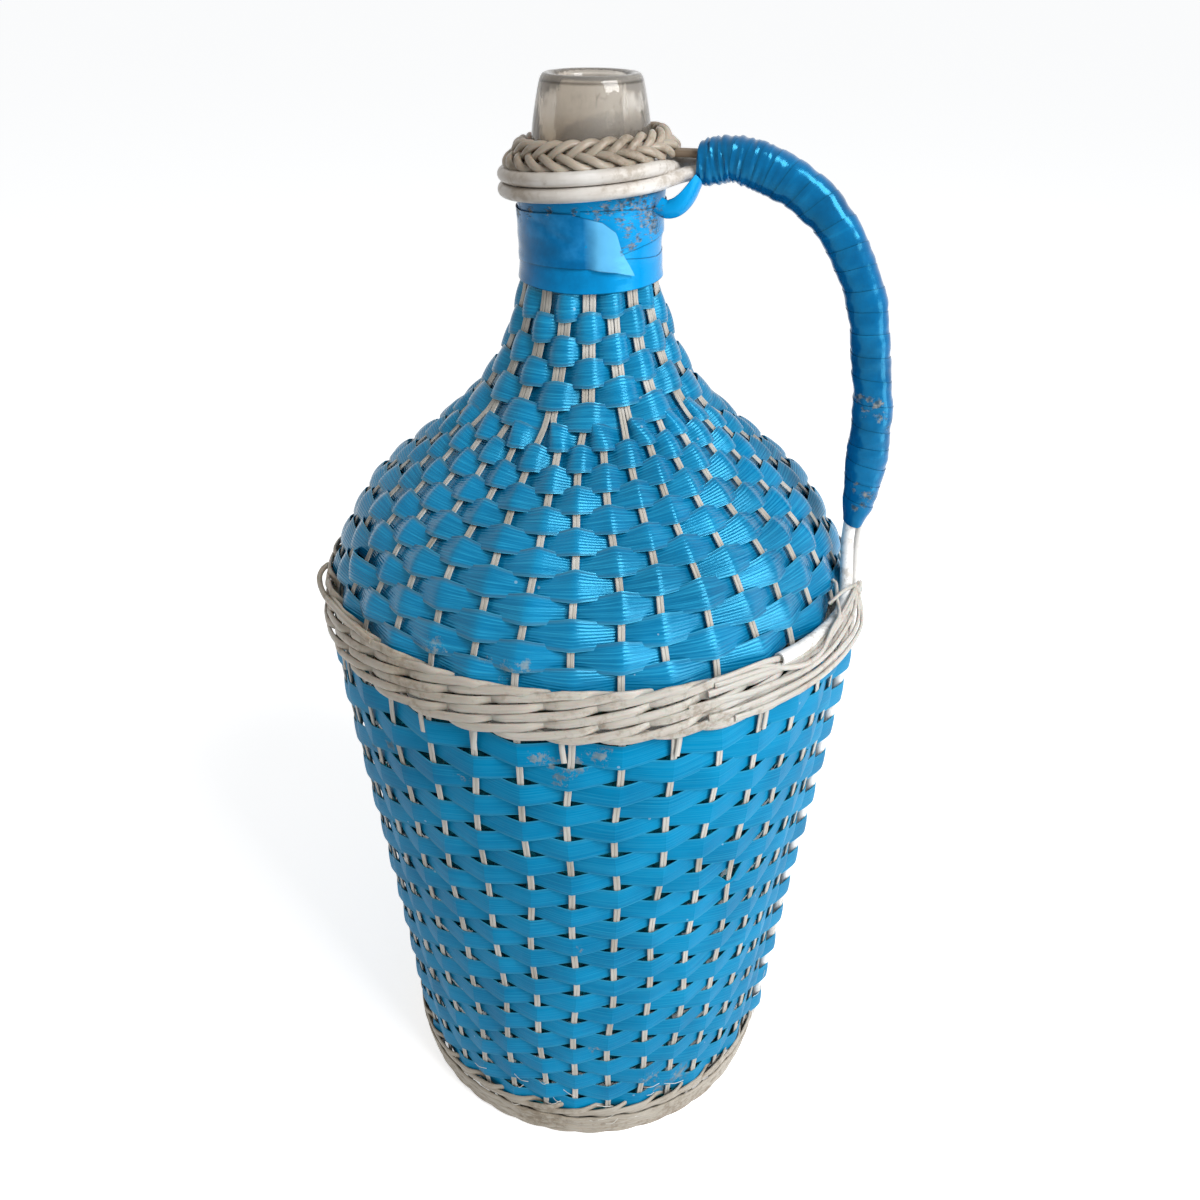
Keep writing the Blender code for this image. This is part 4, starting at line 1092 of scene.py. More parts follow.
def wale(low, course, courses, half_height, half_depth, out, name, node_name, loose, lift_share, material):
    """Courses of strands that pass in front of two stakes and behind the third, rising as they go."""
    rows = 8
    for number in range(courses):
        u = np.arange(3 * STAKES * rows) / rows
        phase = u % 3.0
        front = ease((1.5 - np.abs(phase - 1.5)) / 0.90)
        # The lowest and highest courses run level along the band's edges.
        rises = INNER_RISES
        if courses > 1 and number == 0:
            rises = LOWEST_RISES
        elif courses > 1 and number == courses - 1:
            rises = HIGHEST_RISES
        lift = np.interp(phase, *np.array(rises).T)
        part = np.floor(u / 3).astype(int)
        # Only the first row of these draws is used.
        shake = rng.normal(0, 1, (3, STAKES + 1))[0]
        bulge = np.abs(shake[part]) * loose * np.sin(np.clip(phase / 3, 0, 1) * math.pi)
        sway = 0.12 * MM * np.sin(u * TURN * 7 / (3 * STAKES) + number)
        run = low + course * (number + 0.5) + course * lift_share * lift + sway
        stake = np.floor(u).astype(int) % STAKES
        after = (stake + 1) % STAKES
        share = u - np.floor(u)
        here = stake_azimuth(stake, run) - HANDLE - stake * STAKE_STEP
        there = stake_azimuth(after, run) - HANDLE - after * STAKE_STEP
        azimuth = HANDLE + u * STAKE_STEP + here * (1 - share) + there * share
        inner = -(HALF_STAKE + half_depth)
        offset = inner + (out - inner) * front + 0.45 * MM * front * (phase - 1.5) / 1.5 + bulge
        outward, upward = SIDE.ways(run, azimuth)
        pinch = (0.8 + 0.2 * front)[:, None]
        centres = SIDE.points(run, azimuth, offset)
        piece = tube(centres, outward * half_depth, upward * half_height * pinch, 10)
        settle(piece, f"{name}_{number + 1}", material, [] if number else [node_name])


def make_band_and_border():
    wale(
        BAND_LOW - 0.2 * MM, (BAND_WIDTH + 0.6 * MM) / 3, 3, half_height=1.46 * MM, half_depth=0.60 * MM,
        out=2.7 * MM, name="band_strand", node_name="waist_band", loose=0.30 * MM, lift_share=0.52,
        material=BEIGE,
    )
    # The foot: one open course of slanted strands, and under it flat ones laid close together.
    low = SIDE.run_at(BORDER_FOOT)
    wale(
        low, BORDER_TOP - low + 0.6 * MM, 1, half_height=1.60 * MM, half_depth=0.5 * MM,
        out=1.6 * MM, name="border_strand", node_name="foot_border", loose=0.10 * MM, lift_share=0.50,
        material=FOOT,
    )
    u = np.arange(STAKES * 8) / 8
    for number in range(4):
        dip = np.exp(-(((u + number * 0.37) % 1 - 0.5) / 0.16) ** 2)
        sway = 0.20 * MM * np.sin(TURN * (u / 2 + number * 0.4))
        run = SIDE.run_at(FOOT_BANDS_FROM) + FOOT_BAND_STEP * number + sway
        azimuth = HANDLE + u * STAKE_STEP
        centres = SIDE.points(run, azimuth, 1.75 * MM - 0.40 * MM * dip + 0.10 * MM * number)
        outward, upward = SIDE.ways(run, azimuth)
        piece = tube(centres, outward * 0.55 * MM, upward * 1.5 * MM, 10)
        settle(piece, f"foot_band_{number + 1}", FOOT)


def make_foot_rope():
    """Three flat strands turned slowly round each other under the foot's edge, for a scalloped line."""
    angle = np.linspace(0, TURN, 720, endpoint=False)
    outward, upward = polar(1.0, angle, 0.0), polar(0.0, angle, 1.0)
    for number in range(3):
        turned = angle * 12 + number * TURN / 3
        radius = ROPE_RADIUS + 0.75 * MM * np.cos(turned)
        height = ROPE_HEIGHT + 0.9 * MM * np.sin(turned)
        centres = polar(radius, angle, height)
        piece = tube(centres, outward * 0.9 * MM, upward * 1.45 * MM, 10, 0.85)
        settle(piece, f"foot_cord_{number + 1}", FOOT, [] if number else ["foot_rope"])


def make_base():
    """The underside: rings of strand woven over and under spokes that run in from the stakes."""
    spokes = 36
    first_ring, ring_step = 6.5, 4.95
    middle = 1.75 * MM
    angle = np.linspace(0, TURN, spokes * 6, endpoint=False)
    outward, upward = polar(1.0, angle, 0.0), polar(0.0, angle, 1.0)
    for ring in range(13):
        radius = (first_ring + ring_step * ring) * MM
        height = middle + 0.75 * MM * np.cos(angle * spokes / 2 + math.pi * ring)
        centres = outward * radius + upward * height[:, None]
        piece = tube(centres, outward * 2.3 * MM, upward * 0.45 * MM, 8, 0.7)
        settle(piece, f"base_ring_{ring + 1:02d}", MAT, [] if ring else ["base_mat"])
    for spoke in range(spokes):
        reach = np.linspace((3.0 if spoke % 2 else 14.0) * MM, 70.0 * MM, 60)
        turned = HANDLE + spoke * TURN / spokes
        rows = (reach / MM - first_ring) / ring_step
        height = middle - 0.55 * MM * np.cos(math.pi * (rows + spoke))
        lead = (math.cos(turned), math.sin(turned), 0)
        piece = strand(polar(reach, turned, height), 1.0 * MM, 0.45 * MM, 8, lead, 0.7)
        settle(piece, f"base_spoke_{spoke + 1:02d}", MAT)


# Plaited collar.

COLLAR_RADIUS = 0.0231
COLLAR_RISE = 1.3 * MM
COLLAR_LEAN = math.radians(40)
COLLAR_SLANT = math.tan(math.radians(5.0))
PLAIT_REACH = 3.55 * MM
PLAIT_DEPTH = 1.15 * MM


def make_plait():
    """Five strands, each over two and under two, plaited flat and laid on the neck's slope."""
    cycles, strands = 5, 5
    rise, flat = math.sin(COLLAR_LEAN), math.cos(COLLAR_LEAN)
    phase = np.linspace(0, TURN * cycles, cycles * 44, endpoint=False)
    azimuth = phase / cycles
    for number in range(strands):
        turned = phase + TURN * number / strands
        across = PLAIT_REACH * (np.sin(turned) - 0.09 * np.sin(3 * turned))
        outward = PLAIT_DEPTH * np.sin(2 * turned)
        radius = COLLAR_RADIUS - across * rise + outward * flat
        height = LIP_FOOT + COLLAR_RISE + across * flat + outward * rise
        height = height + radius * COLLAR_SLANT * np.sin(azimuth)
        centres = polar(radius, azimuth, height)
        along = unit(np.roll(centres, -1, 0) - np.roll(centres, 1, 0))
        face = square_to(polar(flat, azimuth, rise), along)
        width = np.cross(along, face)
        piece = tube(centres, face * 1.0 * MM, width * 1.22 * MM, 12, 0.9)
        nodes = [f"neck_plait_{number + 1}"] if number < 3 else []
        settle(piece, f"collar_strand_{number + 1}", COLLAR, nodes)


# Handle.


class Grip:
    """The grip's middle line, by the share of its length from the neck down, and its outward normal."""

    def __init__(self):
        knots = [(share * GRIP_REACH, 0, height) for share, height in zip(GRIP_SHARES, GRIP_HEIGHTS)]
        line = smooth_through(knots, 24)
        # The tape starts a little nearer to the neck than the line's first point.
        self.points = np.vstack([line[0] - unit(line[1] - line[0]) * GRIP_LEAD, line])
        self.runs = lengths(self.points) - GRIP_LEAD
        self.length = self.runs[-1]
        way = unit(np.gradient(self.points, axis=0))
        self.normals = np.stack([-way[:, 2], 0 * way[:, 0], way[:, 0]], 1)

    def read(self, values, share):
        run = np.asarray(share, float) * self.length
        return np.stack([np.interp(run, self.runs, values[:, axis]) for axis in range(3)], -1)

    def at(self, share):
        return self.read(self.points, share)

    def normal(self, share):
        return self.read(self.normals, share)


GRIP = Grip()


def grip_tube_points(share, side, drop=0.0):
    """A tube's line in the grip: beside its twin, and towards the inner side of the bend."""
    sink = TUBE_DROP * (1 - ease((share - 0.8) / 0.2)) + drop * (1 - ease(share / 0.08))
    sink = sink - side * TIP_SPREAD * ease((share - 0.84) / 0.16)
    return GRIP.at(share) - GRIP.normal(share) * sink[:, None] + np.array([0, side * TUBE_SIDE, 0])


def loop_points(angle):
    """The tube's two turns round the neck, by the angle from the handle."""
    share = np.clip((angle - (TURN - LOOP_LEAVING)) / (2 * LOOP_LEAVING), 0, 1)
    radius = LOOP_RADIUS - LOOP_TUCK * np.sin(math.pi * share)
    azimuth = HANDLE + angle
    height = LOOP_HEIGHT - LOOP_PITCH * ease(share) + radius * LOOP_SLANT * np.sin(azimuth)
    return polar(radius, azimuth, height)


def leg_points(start, start_way, stop, stop_way):
    """A bend between the loop and the grip, without its two ends."""
    first = start + unit(start_way) * LEG_BEND
    second = stop - unit(stop_way) * LEG_BEND
    t = np.linspace(0, 1, 14)[1:-1, None]
    bend = (1 - t) ** 3 * start + 3 * (1 - t) ** 2 * t * first
    return bend + 3 * (1 - t) * t**2 * second + t**3 * stop


def standing_points():
    """From the foot, in a stake's place, to the top of the band."""
    run = np.linspace(SIDE.run_at(TUBE_FOOT), BAND_HIGH, 50)
    share = np.clip((run - BAND_LOW) / BAND_WIDTH, 0, 1)
    return SIDE.points(run, HANDLE + 0 * run, TUBE_SEAT + (BAND_TUBE_STANDOFF - TUBE_SEAT) * share)


def cut_end_points():
    """From the grip's tip, bending forwards to lie along the top of the band."""
    tip = grip_tube_points(np.array([1.0]), -1)[0]
    side_angle = TUBE_SIDE / tip[0]
    found = []
    for forward, rise in CUT_END_SHARES:
        azimuth = HANDLE - side_angle - forward * (CUT_END - side_angle)
        sink = CUT_END_SINK * ease(forward / 0.3)
        run = BAND_HIGH + TUBE_GAP + TUBE_RADIUS - sink
        lying = SIDE.points(run, azimuth, HALF_STAKE + TUBE_GAP + TUBE_RADIUS + sink * 0.5)
        standing = polar(tip[0], azimuth, lying[2] + CUT_END_RISE)
        found.append(lying + (standing - lying) * rise)
    return np.array(found)


def make_handle_tube():
    """One tube: up in a stake's place, through the grip, twice round the neck, and back to the band."""
    share = np.linspace(0, 1, 30)
    up = grip_tube_points(share[::-1], 1)
    down = grip_tube_points(share, -1, LOWER_LEG_DROP)
    loop = loop_points(np.linspace(LOOP_LEAVING, 2 * TURN - LOOP_LEAVING, 110))
    joining = leg_points(up[-1], up[-1] - up[-2], loop[0], loop[1] - loop[0])
    leaving = leg_points(loop[-1], loop[-1] - loop[-2], down[0], np.array([1.0, 0, 0]))
    route = np.vstack([standing_points(), up, joining, loop, leaving, down, cut_end_points()])
    route = evenly(smooth_through(evenly(route, 4 * MM), 4), 1.0 * MM)
    piece = strand(route, TUBE_RADIUS, TUBE_RADIUS, 16, (1, 0, 0))
    # The cut end shows a shallow bore.
    deselect()
    bpy.context.view_layer.objects.active = piece
    piece.select_set(True)
    bpy.ops.object.mode_set(mode="EDIT")
    bpy.ops.mesh.select_all(action="DESELECT")
    bpy.ops.object.mode_set(mode="OBJECT")
    for face in piece.data.polygons:
        face.select = len(face.vertices) > 8 and (face.center - Vector(route[-1])).length < TUBE_RADIUS
    bpy.ops.object.mode_set(mode="EDIT")
    bpy.ops.mesh.inset(thickness=CUT_WALL)
    bpy.ops.mesh.inset(thickness=CUT_BEVEL, depth=-CUT_DEPTH)
    bpy.ops.object.mode_set(mode="OBJECT")
    settle(piece, "white_tube", WHITE, ["handle_tube"], smooth=50)


CORE_HALF_WIDTH = 3.0 * MM
CORE_HALF_DEPTH = 1.1 * MM
CORE_GAP = 0.3 * MM
CORE_END_SHARES = np.array([0.93, 1.0])


def make_handle_core():
    """A flat brown strip along the outer side of the two tubes, seen at the root."""
    share = np.linspace(0, 0.86, 60)
    lift = TUBE_RADIUS + CORE_GAP + CORE_HALF_DEPTH - TUBE_DROP
    centres = GRIP.at(share) + GRIP.normal(share) * lift
    root = centres[0] - np.outer(np.linspace(9.6, 0.7, 10) * MM, [1.0, 0, 0])
    centres = np.vstack([root, centres])
    piece = strand(centres, CORE_HALF_WIDTH, CORE_HALF_DEPTH, 16, (0, 1, 0), 0.45)
    settle(piece, "brown_core", CORE, ["handle_core"], smooth=50)
    # Its other end stands between the tubes and the cover, from the grip's tip to the band.
    top = GRIP.at(CORE_END_SHARES) - GRIP.normal(CORE_END_SHARES) * 3.2 * MM
    foot = SIDE.points(np.array([BAND_HIGH + 4 * MM, BAND_HIGH - 2 * MM]), HANDLE - 0.022, 2.4 * MM)
    centres = smooth_through(np.vstack([top, foot]) - np.array([0, 1.2 * MM, 0]), 10)
    piece = strand(centres, 1.5 * MM, 0.7 * MM, 12, (0, 1, 0), 0.6)
    settle(piece, "brown_core_end", CORE, smooth=50)


# The grip's depth on its outer and inner side and its width, as shares, by the share of its length.
OUTER_SHARES = (
    (-0.06, 0.84), (0.0, 0.95), (0.15, 1.0), (0.35, 0.88), (0.68, 0.88), (0.84, 0.99),
    (0.93, 0.74), (1.0, 0.36),
)
INNER_SHARES = (
    (-0.06, 0.84), (0.0, 0.95), (0.15, 1.0), (0.35, 0.88), (0.68, 0.88), (0.84, 0.97),
    (0.92, 0.90), (1.0, 0.62),
)
WIDTH_SHARES = ((-0.06, 1.04), (0.0, 1.12), (0.10, 1.12), (0.20, 1.0), (0.9, 1.0), (1.0, 0.86))

# Waves in the tape: length along it, turns round it, and weight.
PLEATS = ((1.9 * MM, 1, 0.6), (2.9 * MM, -2, 0.5), (1.3 * MM, 3, 0.3))
SOFT_WAVES = (
    (31 * MM, 1, 0.9), (17 * MM, -2, 0.6), (11 * MM, 2, 0.5), (6.1 * MM, -1, 0.35), (4.3 * MM, 3, 0.25),
)
GRIP_DEPTH = 6.6 * MM
GRIP_WIDTH = 5.3 * MM
TAPE_LEAD = -4.6 * MM
GRIP_TAPE_THICKNESS = 0.2 * MM

NECK_TAPE_RADIUS = 22.0 * MM
NECK_TAPE_THICKNESS = 0.22 * MM
TAPE_WAVES = ((12 * MM, 2, 0.6), (7 * MM, -4, 0.4), (5 * MM, 7, 0.25), (3 * MM, -11, 0.15))


def ripple(along, angle, waves, size):
    """A sum of soft waves over a wound surface, by the run along it and the angle round it."""
    total = 0 * along
    for length, turns, weight in waves:
        total = total + weight * np.sin(TURN * along / length + turns * angle + rng.uniform(0, TURN))
    return size * total


def make_handle_tape():
    """Tape wound down the grip, each turn lapped over the one before it."""
    narrow = rng.uniform(2.9, 3.9, 7) * MM
    wide = rng.uniform(4.6, 8.6, 18)
    wide *= (GRIP.length + 1.2 * MM - TAPE_LEAD - narrow.sum()) / wide.sum()
    starts = TAPE_LEAD + np.concatenate([[0.0], np.cumsum(np.concatenate([narrow, wide]))])
    turns = len(starts) - 1
    rows, columns = turns * 44, 10
    turned = np.linspace(0, turns - 0.999, rows + 1)
    begin = np.interp(turned, np.arange(turns + 1), starts)
    width = np.interp(turned + 1, np.arange(turns + 1), starts) - begin
    # No lap lies quite square to the grip.
    begin = begin + np.interp(turned, np.arange(turns * 3) / 3, rng.normal(0, 0.34, turns * 3)) * MM
    width = np.maximum(width * 1.18 + 0.6 * MM, 3.2 * MM)
    part = np.linspace(0, 1, columns + 1)
    run = np.minimum(begin[:, None] + part[None] * width[:, None], GRIP.length + 0.4 * MM)
    run = np.maximum(run, TAPE_LEAD)
    share = run / GRIP.length
    # It starts on the side away from the bottle's front.
    angle = TURN * (turned[:, None] + 0.25) + 0 * run
    out, over = rounded(angle, 0.84)
    outer, inner, girth = (
        np.interp(share, *np.array(table).T) for table in (OUTER_SHARES, INNER_SHARES, WIDTH_SHARES)
    )
    depth = GRIP_DEPTH * np.where(out > 0, outer, inner)
    side = GRIP_WIDTH * girth
    root = 1 - ease((share - 0.04) / 0.16)
    pleats = ripple(run, angle, PLEATS, 0.30 * MM)
    soft = ripple(run, angle, SOFT_WAVES, 0.20 * MM)
    lap = (0.24 - 0.24 * part[None]) * MM * np.minimum(width[:, None] / (8 * MM), 1) + 0 * run
    lift = lap + soft + pleats * root
    normal, middle = GRIP.normal(share), GRIP.at(share)
    points = middle + normal * (depth * out + lift * np.cos(angle))[..., None]
    points[..., 1] += side * over + lift * np.sin(angle)
    piece = grid(rows, columns, points[:, ::-1], lengths(points[:, 0]), part[::-1])
    thicken(piece, GRIP_TAPE_THICKNESS)
    settle(piece, "grip_tape", GRIP_TAPE, ["handle_tape"], smooth=50)


def neck_layer(name, low, high, begin, end, lift, wrinkle, nodes=(), material=NECK_TAPE):
    """A turn of tape between two edges, each a table of azimuth and height."""
    rows, columns = 220, 16
    azimuth = np.radians(np.linspace(begin, end, rows + 1))
    bottom = np.interp(np.degrees(azimuth), *np.array(low).T) * MM
    top = np.interp(np.degrees(azimuth), *np.array(high).T) * MM
    part = np.linspace(0, 1, columns + 1)
    height = bottom[:, None] + (top - bottom)[:, None] * part[None]
    angle = azimuth[:, None] + 0 * height
    # The tape spreads over the ends of the stakes at its foot, and leans out a little at its top.
    below = np.clip((0.3375 - height) / 0.009, 0, 1)
    above = np.clip((height - 0.336) / 0.020, 0, 1)
    radius = NECK_TAPE_RADIUS + lift(np.degrees(angle), height / MM) * MM
    radius = radius + 0.75 * MM * below**1.5 + 1.0 * MM * above
    radius = radius + ripple(height, angle, TAPE_WAVES, wrinkle)
    piece = grid(rows, columns, polar(radius, angle, height), azimuth * 0.0224, part)
    thicken(piece, NECK_TAPE_THICKNESS)
    settle(piece, name, material, nodes, smooth=40)


def make_neck_tape():
    """The tape's turns: one under all, one low down, the last with its slanted end lifted, and a worn one."""

    def swell(angle, height, middle, high, width, depth, tilt=0.0):
        """A soft mound about a place, 1 at its top."""
        off = height - high + (angle - middle) * tilt
        return np.exp(-(((angle - middle) / width) ** 2) - ((off / depth) ** 2))

    def folds(angle, height):
        """Two dents on the left, the lifted end, and a ridge along the lower edge."""
        dent = 0.55 * swell(angle, height, -22, 347.6, 15, 0.9, 0.03)
        dent = dent + 0.55 * swell(angle, height, -14, 345.0, 12, 0.9, 0.14)
        flap = 0.9 * ease((angle - 6) / 22) * ease((352 - height) / 7)
        hollow = 0.5 * np.exp(-(((angle - 14) / 5) ** 2)) * ease((350 - height) / 8)
        return 0.55 + flap - hollow - dent + 0.16 * np.exp(-(((height - 336) / 1.2) ** 2))

    def worn(angle, height):
        """The older turn: puffed out below the slanted end."""
        return 0.28 + 0.8 * swell(angle, height, 46, 344.5, 8, 2.0)

    def level(size):
        return lambda angle, height: 0 * angle + size

    low, high = ((-180, 330.4), (180, 330.4)), ((-180, 355.8), (180, 355.8))
    neck_layer("neck_tape_inner", low, high, -180, 180, level(0.0), 0.12 * MM, ["neck_tape"])
    low = ((-180, 329.4), (-75, 328.6), (-1, 328.0), (34, 328.4), (90, 329.2), (180, 329.4))
    high = ((-180, 337.5), (-60, 336.8), (0, 337.0), (45, 338.0), (81, 336.6), (130, 337.5), (180, 337.5))
    neck_layer("neck_tape_low", low, high, -180, 180, level(0.25), 0.08 * MM)
    low = (
        (-185, 333.6), (-75.7, 333.7), (-37.7, 335.0), (-5.1, 335.4), (15, 335.4), (35, 334.4), (49.4, 333.0),
    )
    high = (
        (-185, 350.5), (-56, 349.7), (-37.6, 350.2), (-16.2, 351.0), (0, 351.3), (15.2, 350.0),
        (24.0, 349.2), (34.0, 346.2), (38.3, 340.9), (49.4, 333.4),
    )
    neck_layer("neck_tape_flap", low, high, -185, 49.4, folds, 0.10 * MM, material=FLAP_TAPE)
    # An older turn shows beside the slanted end, its own edge worn.
    low = ((8, 339.5), (40, 339.2), (60, 341.0), (100, 343.0), (175, 344.0))
    high = ((8, 352.2), (38, 352.4), (61, 351.6), (175, 352.5))
    neck_layer("neck_tape_worn", low, high, 8, 175, worn, 0.16 * MM)


def make_tape_tail():
    """The tape's loose end, curling from under the grip's root down against the neck."""
    knots = (
        (35.0, -4.6, 359.2), (33.4, -6.2, 356.4), (31.2, -7.6, 353.6), (28.6, -8.6, 351.8),
        (25.6, -9.2, 351.4), (23.0, -9.4, 352.9),
    )
    centres = smooth_through(np.array(knots) * MM, 8)
    first, second = carried(centres, (0.25, 0.9, 0.5))
    turned = np.linspace(0.5, 1.5, len(centres))[:, None]
    across = first * np.cos(turned) + second * np.sin(turned)
    cupped = np.cross(unit(np.gradient(centres, axis=0)), across)
    part = np.linspace(-1, 1, 13)
    size = (3.3 - 0.9 * np.linspace(0, 1, len(centres)) ** 2)[:, None] * MM
    points = centres[:, None] + across[:, None] * (part[None] * size)[..., None]
    points = points - cupped[:, None] * (1.1 * MM * part[None] ** 2 + 0 * size)[..., None]
    piece = grid(len(centres) - 1, 12, points, lengths(centres), (part + 1) / 2)
    thicken(piece, NECK_TAPE_THICKNESS)
    settle(piece, "loose_tape_end", NECK_TAPE, ["tape_tail"], smooth=50)


# Small things.


def lay(knots, half_width, half_depth, name, material, square=0.9):
    """A strand laid on the cover through knots: azimuth in degrees, run from the band's foot, lift in mm."""
    azimuth, run, lift = smooth_through(np.array(knots, float), 8).T
    azimuth, run = np.radians(azimuth), BAND_LOW + run * MM
    centres = SIDE.points(run, azimuth, lift * MM)
    along = unit(np.gradient(centres, axis=0))
    out = square_to(polar(1.0, azimuth, 0.0), along)
    piece = tube(centres, out * half_depth, np.cross(along, out) * half_width, 10, square, closed=False)
    settle(piece, name, material)


# Each binding strand: its half width in millimetres, and its knots from the handle's tubes to the band.
BINDING_WAYS = (
    (0.60, (
        (86, 17.4, 7), (83.9, 19.6, 7), (77.5, 22.4, 7), (75.1, 22, 5.4), (73.6, 21, 3.4),
    )),
    (0.95, (
        (80.2, 24.6, 2.4), (79.4, 23.4, 3.5), (75.6, 21, 5), (71.8, 18.7, 7.6), (67.3, 17.2, 8.4),
        (63.4, 13.2, 8.2), (59.8, 11.4, 6.4), (55.6, 12.4, 4.7), (51.9, 14.8, 4.1), (48.4, 16.4, 3.8),
        (45.1, 15.6, 3.2),
    )),
    (1.20, (
        (88, 17, 7.2), (83, 18.6, 7.2), (76.8, 17.6, 7.6), (72.2, 16.8, 7.6), (67.6, 14.2, 6.6),
        (63.8, 12.6, 5.2), (58.3, 12.2, 4.2), (51.8, 13, 4), (45.8, 13.2, 3.9), (38, 12.2, 3.4),
    )),
    (1.25, (
        (88.5, 15.6, 6.8), (83.2, 17.2, 7.2), (81.4, 12.4, 7.8), (77.6, 9.4, 7.8), (72.3, 7, 6),
        (65.7, 5.5, 4.7), (59.8, 5.3, 4.1), (53, 5.6, 3.9), (46.8, 5.4, 3.8), (38, 4.6, 3.2),
    )),
    (1.10, (
        (64, 13, 3.6), (60.5, 14, 4.4), (57, 15.2, 4.6), (54, 16.2, 4.5), (50, 16.8, 4.1),
        (45, 16.4, 3.6), (40, 15.6, 3),
    )),
    (1.20, (
        (88, 16.4, 7), (83.2, 18, 7.2), (79.2, 15.4, 7.8), (74.4, 13.6, 7.8), (69.8, 10.5, 6.4),
        (64.6, 8.6, 5), (58.8, 8.4, 4.2), (52, 9, 3.9), (46.3, 9.2, 3.8), (40.3, 9.6, 3.6),
        (34, 9, 3.2),
    )),
    (1.20, (
        (89, 14.2, 6.6), (84.6, 15.4, 7.2), (84, 10.7, 7.6), (81.3, 7.2, 7.9), (76, 4.4, 6.4),
        (69.8, 2.8, 5), (62.9, 2.4, 4.2), (56.7, 2.5, 3.9), (50.2, 2.6, 3.8), (43.4, 2.4, 3.4),
    )),
    (0.95, (
        (87, 18, 6.8), (82.6, 19, 7), (75.6, 18.4, 7.2), (69.7, 17.2, 7.6), (65.6, 15.4, 6.8),
        (61.6, 13.8, 5.4), (56.1, 13.8, 4.5), (50.4, 14.6, 4.1), (45.8, 14.8, 3.9), (39.4, 14.4, 3.4),
    )),
    (1.10, (
        (-70.5, 11, 1.6), (-67.3, 14.4, 3.2), (-66.4, 13.5, 4.9), (-65.3, 11.5, 5.8),
        (-63.4, 10.2, 5.4), (-57, 11.6, 4.4), (-49.5, 14.2, 4), (-43.3, 15.2, 3.9), (-37.4, 15.8, 3.8),
        (-31.4, 15.4, 3.4),
    )),
)


def make_binding():
    """Eight strands that bind the handle's tubes to the band, and the band's loose loop on the left."""
    for number, (half_width, knots) in enumerate(BINDING_WAYS):
        half_depth = 0.95 if number == len(BINDING_WAYS) - 1 else 0.6
        lay(knots, half_width * MM, half_depth * MM, f"binding_strand_{number + 1}", BEIGE)


def make_stake_ends():
    """Short cut ends of second stakes that stand beside the stakes, just under the band."""
    for number, stake in enumerate((26, 27, 29, 31, 3, 8, 13, 19, 23, 33)):
        middle = math.degrees(HANDLE + stake * STAKE_STEP)
        lean = 1.15 if number % 2 else -1.15
        ends = ((1.0, 2.0, 1.0), (1.1, -2.0, 1.0), (0.75, -8.0, 1.2))
        knots = [(middle + lean * share, run, lift) for share, run, lift in ends]
        name = f"stake_end_{number + 1:02d}"
        lay(knots, 0.9 * MM, 0.35 * MM, name, STAKE_GREY, 0.6)


def make_stray_fibres():
    """Hair-thin torn fibres that stand out of the foot and the last rows."""
    for number in range(26):
        azimuth = rng.uniform(-10, 45) if number < 16 else rng.uniform(60, 340)
        height = rng.uniform(20, 42) if number % 3 else rng.uniform(6, 16)
        radius = float(SIDE.at(SIDE.run_at(height * MM))[0]) / MM + 1.6
        start = np.array(about(azimuth, radius, height))
        way = np.array(about(azimuth, 1.0, 0)) / MM
        level = np.array([-way[1], way[0], 0])
        bend = rng.uniform(-1, 1, 3)
        size = rng.uniform(3.0, 9.0) * MM
        sweep = level * (0.9 if bend[0] > 0 else -0.9) + np.array([0, 0, 0.5 * bend[1]]) + way * 0.16
        ends = (start, start + sweep * size * 0.5 + way * 0.7 * MM, start + sweep * size - way * 0.2 * MM)
        centres = smooth_through(np.array(ends) + np.array([[0, 0, 0], [0, 0, bend[2] * MM], [0, 0, 0]]), 5)
        piece = strand(centres, 0.13 * MM, 0.09 * MM, 5)
        settle(piece, f"stray_fibre_{number + 1:02d}", STRAY)


make_handle_tube()
make_handle_core()
make_handle_tape()
make_neck_tape()
make_tape_tail()
make_base()
make_binding()
make_stake_ends()
make_stray_fibres()
make_bottle()
make_stakes()
make_ribbons()
make_band_and_border()
make_foot_rope()
make_plait()


# Room, lights and camera.

FLOOR_HEIGHT = -0.0002
FLOOR_GREY = (0.88, 0.88, 0.88, 1)
FLOOR_GLOW = 0.62
WHITE_LIGHT = (1, 1, 1, 1)
ROOM_LIGHT = ((0.96, 0.98, 1.0, 1), 0.40)
SEEN_RAYS = ("Camera", "Glossy", "Transmission")
LAMP_AIM = 0.2
CAMERA_AZIMUTH = 16
CAMERA_REACH = 0.36
CAMERA_HEIGHT = 0.4177
CAMERA_TILT = 90 - 30.02
CAMERA_ROLL = -0.2
CAMERA_LENS = 33.6855
CAMERA_SENSOR = 36
CAMERA_SHIFT = (0.0067, -0.0011)


def seen_rays(tree):
    """1 for the rays that show the background: the camera's, and those in gloss and glass."""
    path = tree.nodes.new("ShaderNodeLightPath")
    camera, gloss, glass = (Value(path.outputs[f"Is {kind} Ray"]) for kind in SEEN_RAYS)
    return camera.by("MAXIMUM", gloss).by("MAXIMUM", glass)


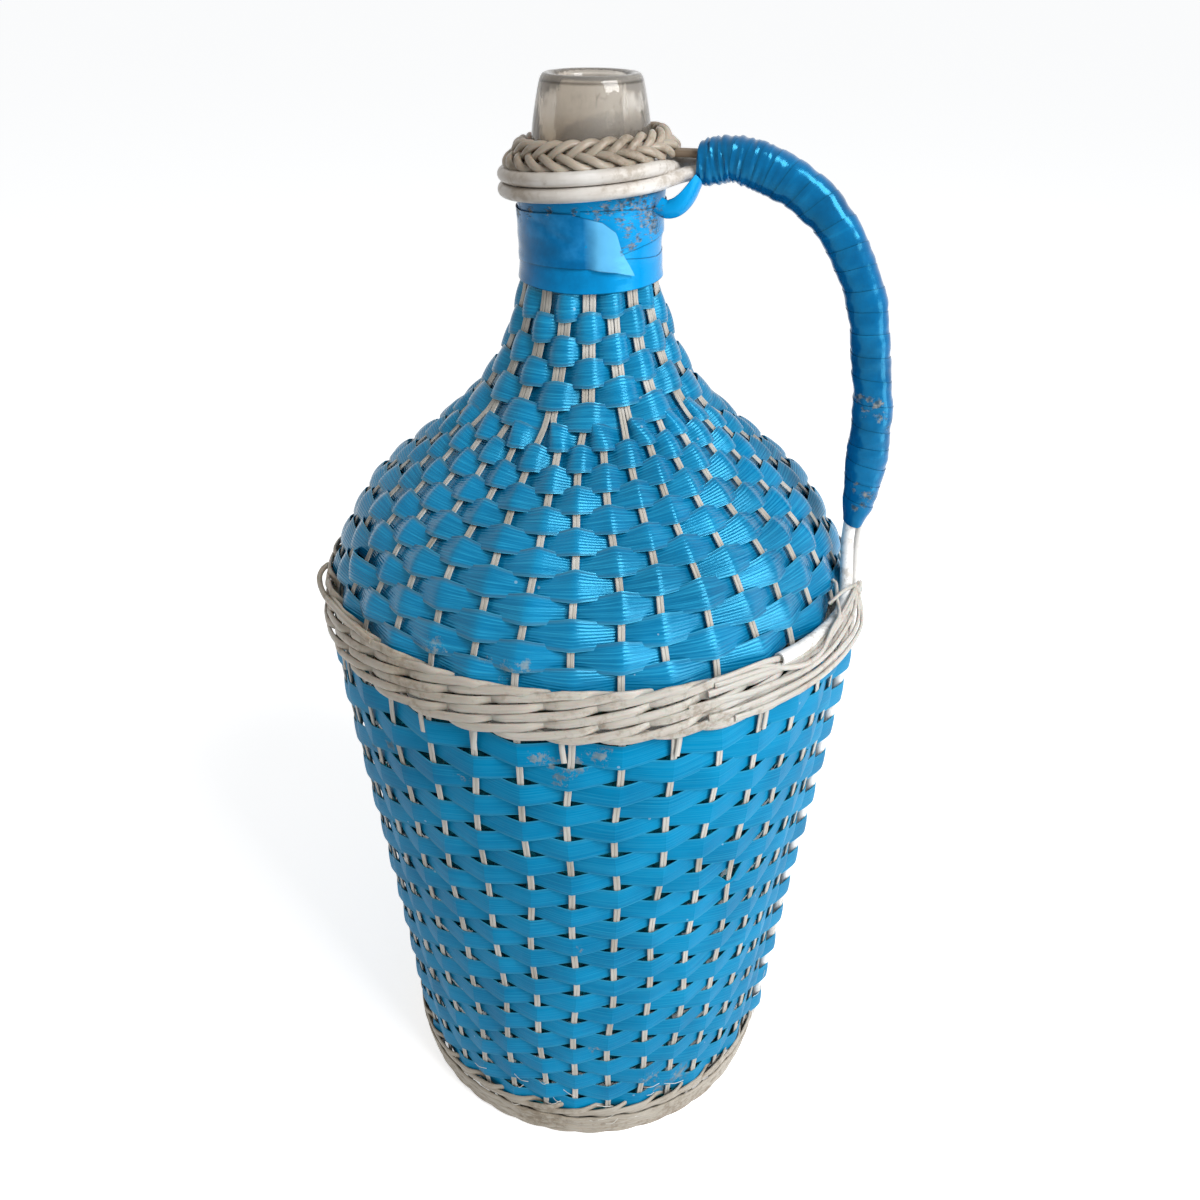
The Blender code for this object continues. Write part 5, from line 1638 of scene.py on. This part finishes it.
def make_room():
    deselect()
    bpy.ops.mesh.primitive_plane_add(size=60, location=(0, 0, FLOOR_HEIGHT))
    floor = bpy.context.object
    floor.name = "floor"
    material, tree, shader = plain(
        "pale_floor", Base_Color=FLOOR_GREY, Roughness=0.9, Specular_IOR_Level=0.0,
        Emission_Color=WHITE_LIGHT,
    )
    wire(shader, Emission_Strength=seen_rays(tree) * FLOOR_GLOW)
    floor.data.materials.append(material)
    world = bpy.data.worlds.new("room")
    bpy.context.scene.world = world
    world.use_nodes = True
    tree = world.node_tree
    tree.nodes.clear()
    seen = seen_rays(tree)
    soft, white = (
        Value(node(tree, "Background", {"Color": colour, "Strength": strength}).outputs[0])
        for colour, strength in (ROOM_LIGHT, (WHITE_LIGHT, 1.0))
    )
    both = node(tree, "MixShader", {0: seen, 1: soft, 2: white})
    node(tree, "OutputWorld", {0: Value(both.outputs[0])})


def make_lamp(name, azimuth, elevation, distance, size, power, colour=(1, 1, 1)):
    """A soft lamp by its direction from the camera's side and its height."""
    turned = math.radians(azimuth + CAMERA_AZIMUTH)
    rise = math.radians(elevation)
    middle = Vector((0, 0, LAMP_AIM))
    way = Vector((math.sin(turned) * math.cos(rise), -math.cos(turned) * math.cos(rise), math.sin(rise)))
    deselect()
    bpy.ops.object.light_add(type="AREA", location=middle + way * distance)
    lamp = bpy.context.object
    lamp.name = name
    lamp.data.shape = "RECTANGLE"
    lamp.data.size, lamp.data.size_y = size
    lamp.data.energy = power
    lamp.data.color = colour
    lamp.rotation_mode = "QUATERNION"
    lamp.rotation_quaternion = (-way).to_track_quat("-Z", "Y")


def make_camera():
    """The photo's camera, close by, a little higher than the lip, and looking down."""
    deselect()
    turned = math.radians(CAMERA_AZIMUTH)
    place = (CAMERA_REACH * math.sin(turned), -CAMERA_REACH * math.cos(turned), CAMERA_HEIGHT)
    tilt, roll = math.radians(CAMERA_TILT), math.radians(CAMERA_ROLL)
    bpy.ops.object.camera_add(location=place, rotation=(tilt, roll, turned))
    camera = bpy.context.object
    camera.name = "photo_camera"
    camera.data.lens = CAMERA_LENS
    camera.data.sensor_width = CAMERA_SENSOR
    camera.data.shift_x, camera.data.shift_y = CAMERA_SHIFT
    camera.data.clip_start = 0.01
    bpy.context.scene.camera = camera


make_room()
make_lamp("window", azimuth=46, elevation=40, distance=1.2, size=(0.58, 0.60), power=13)
make_lamp("side", azimuth=54, elevation=-1, distance=0.85, size=(0.42, 0.34), power=1.9)
make_lamp(
    "fill", azimuth=-55, elevation=35, distance=1.6, size=(1.2, 1.2), power=1.2, colour=(1.0, 0.97, 0.92),
)
make_camera()
bpy.context.scene.view_settings.view_transform = "Standard"
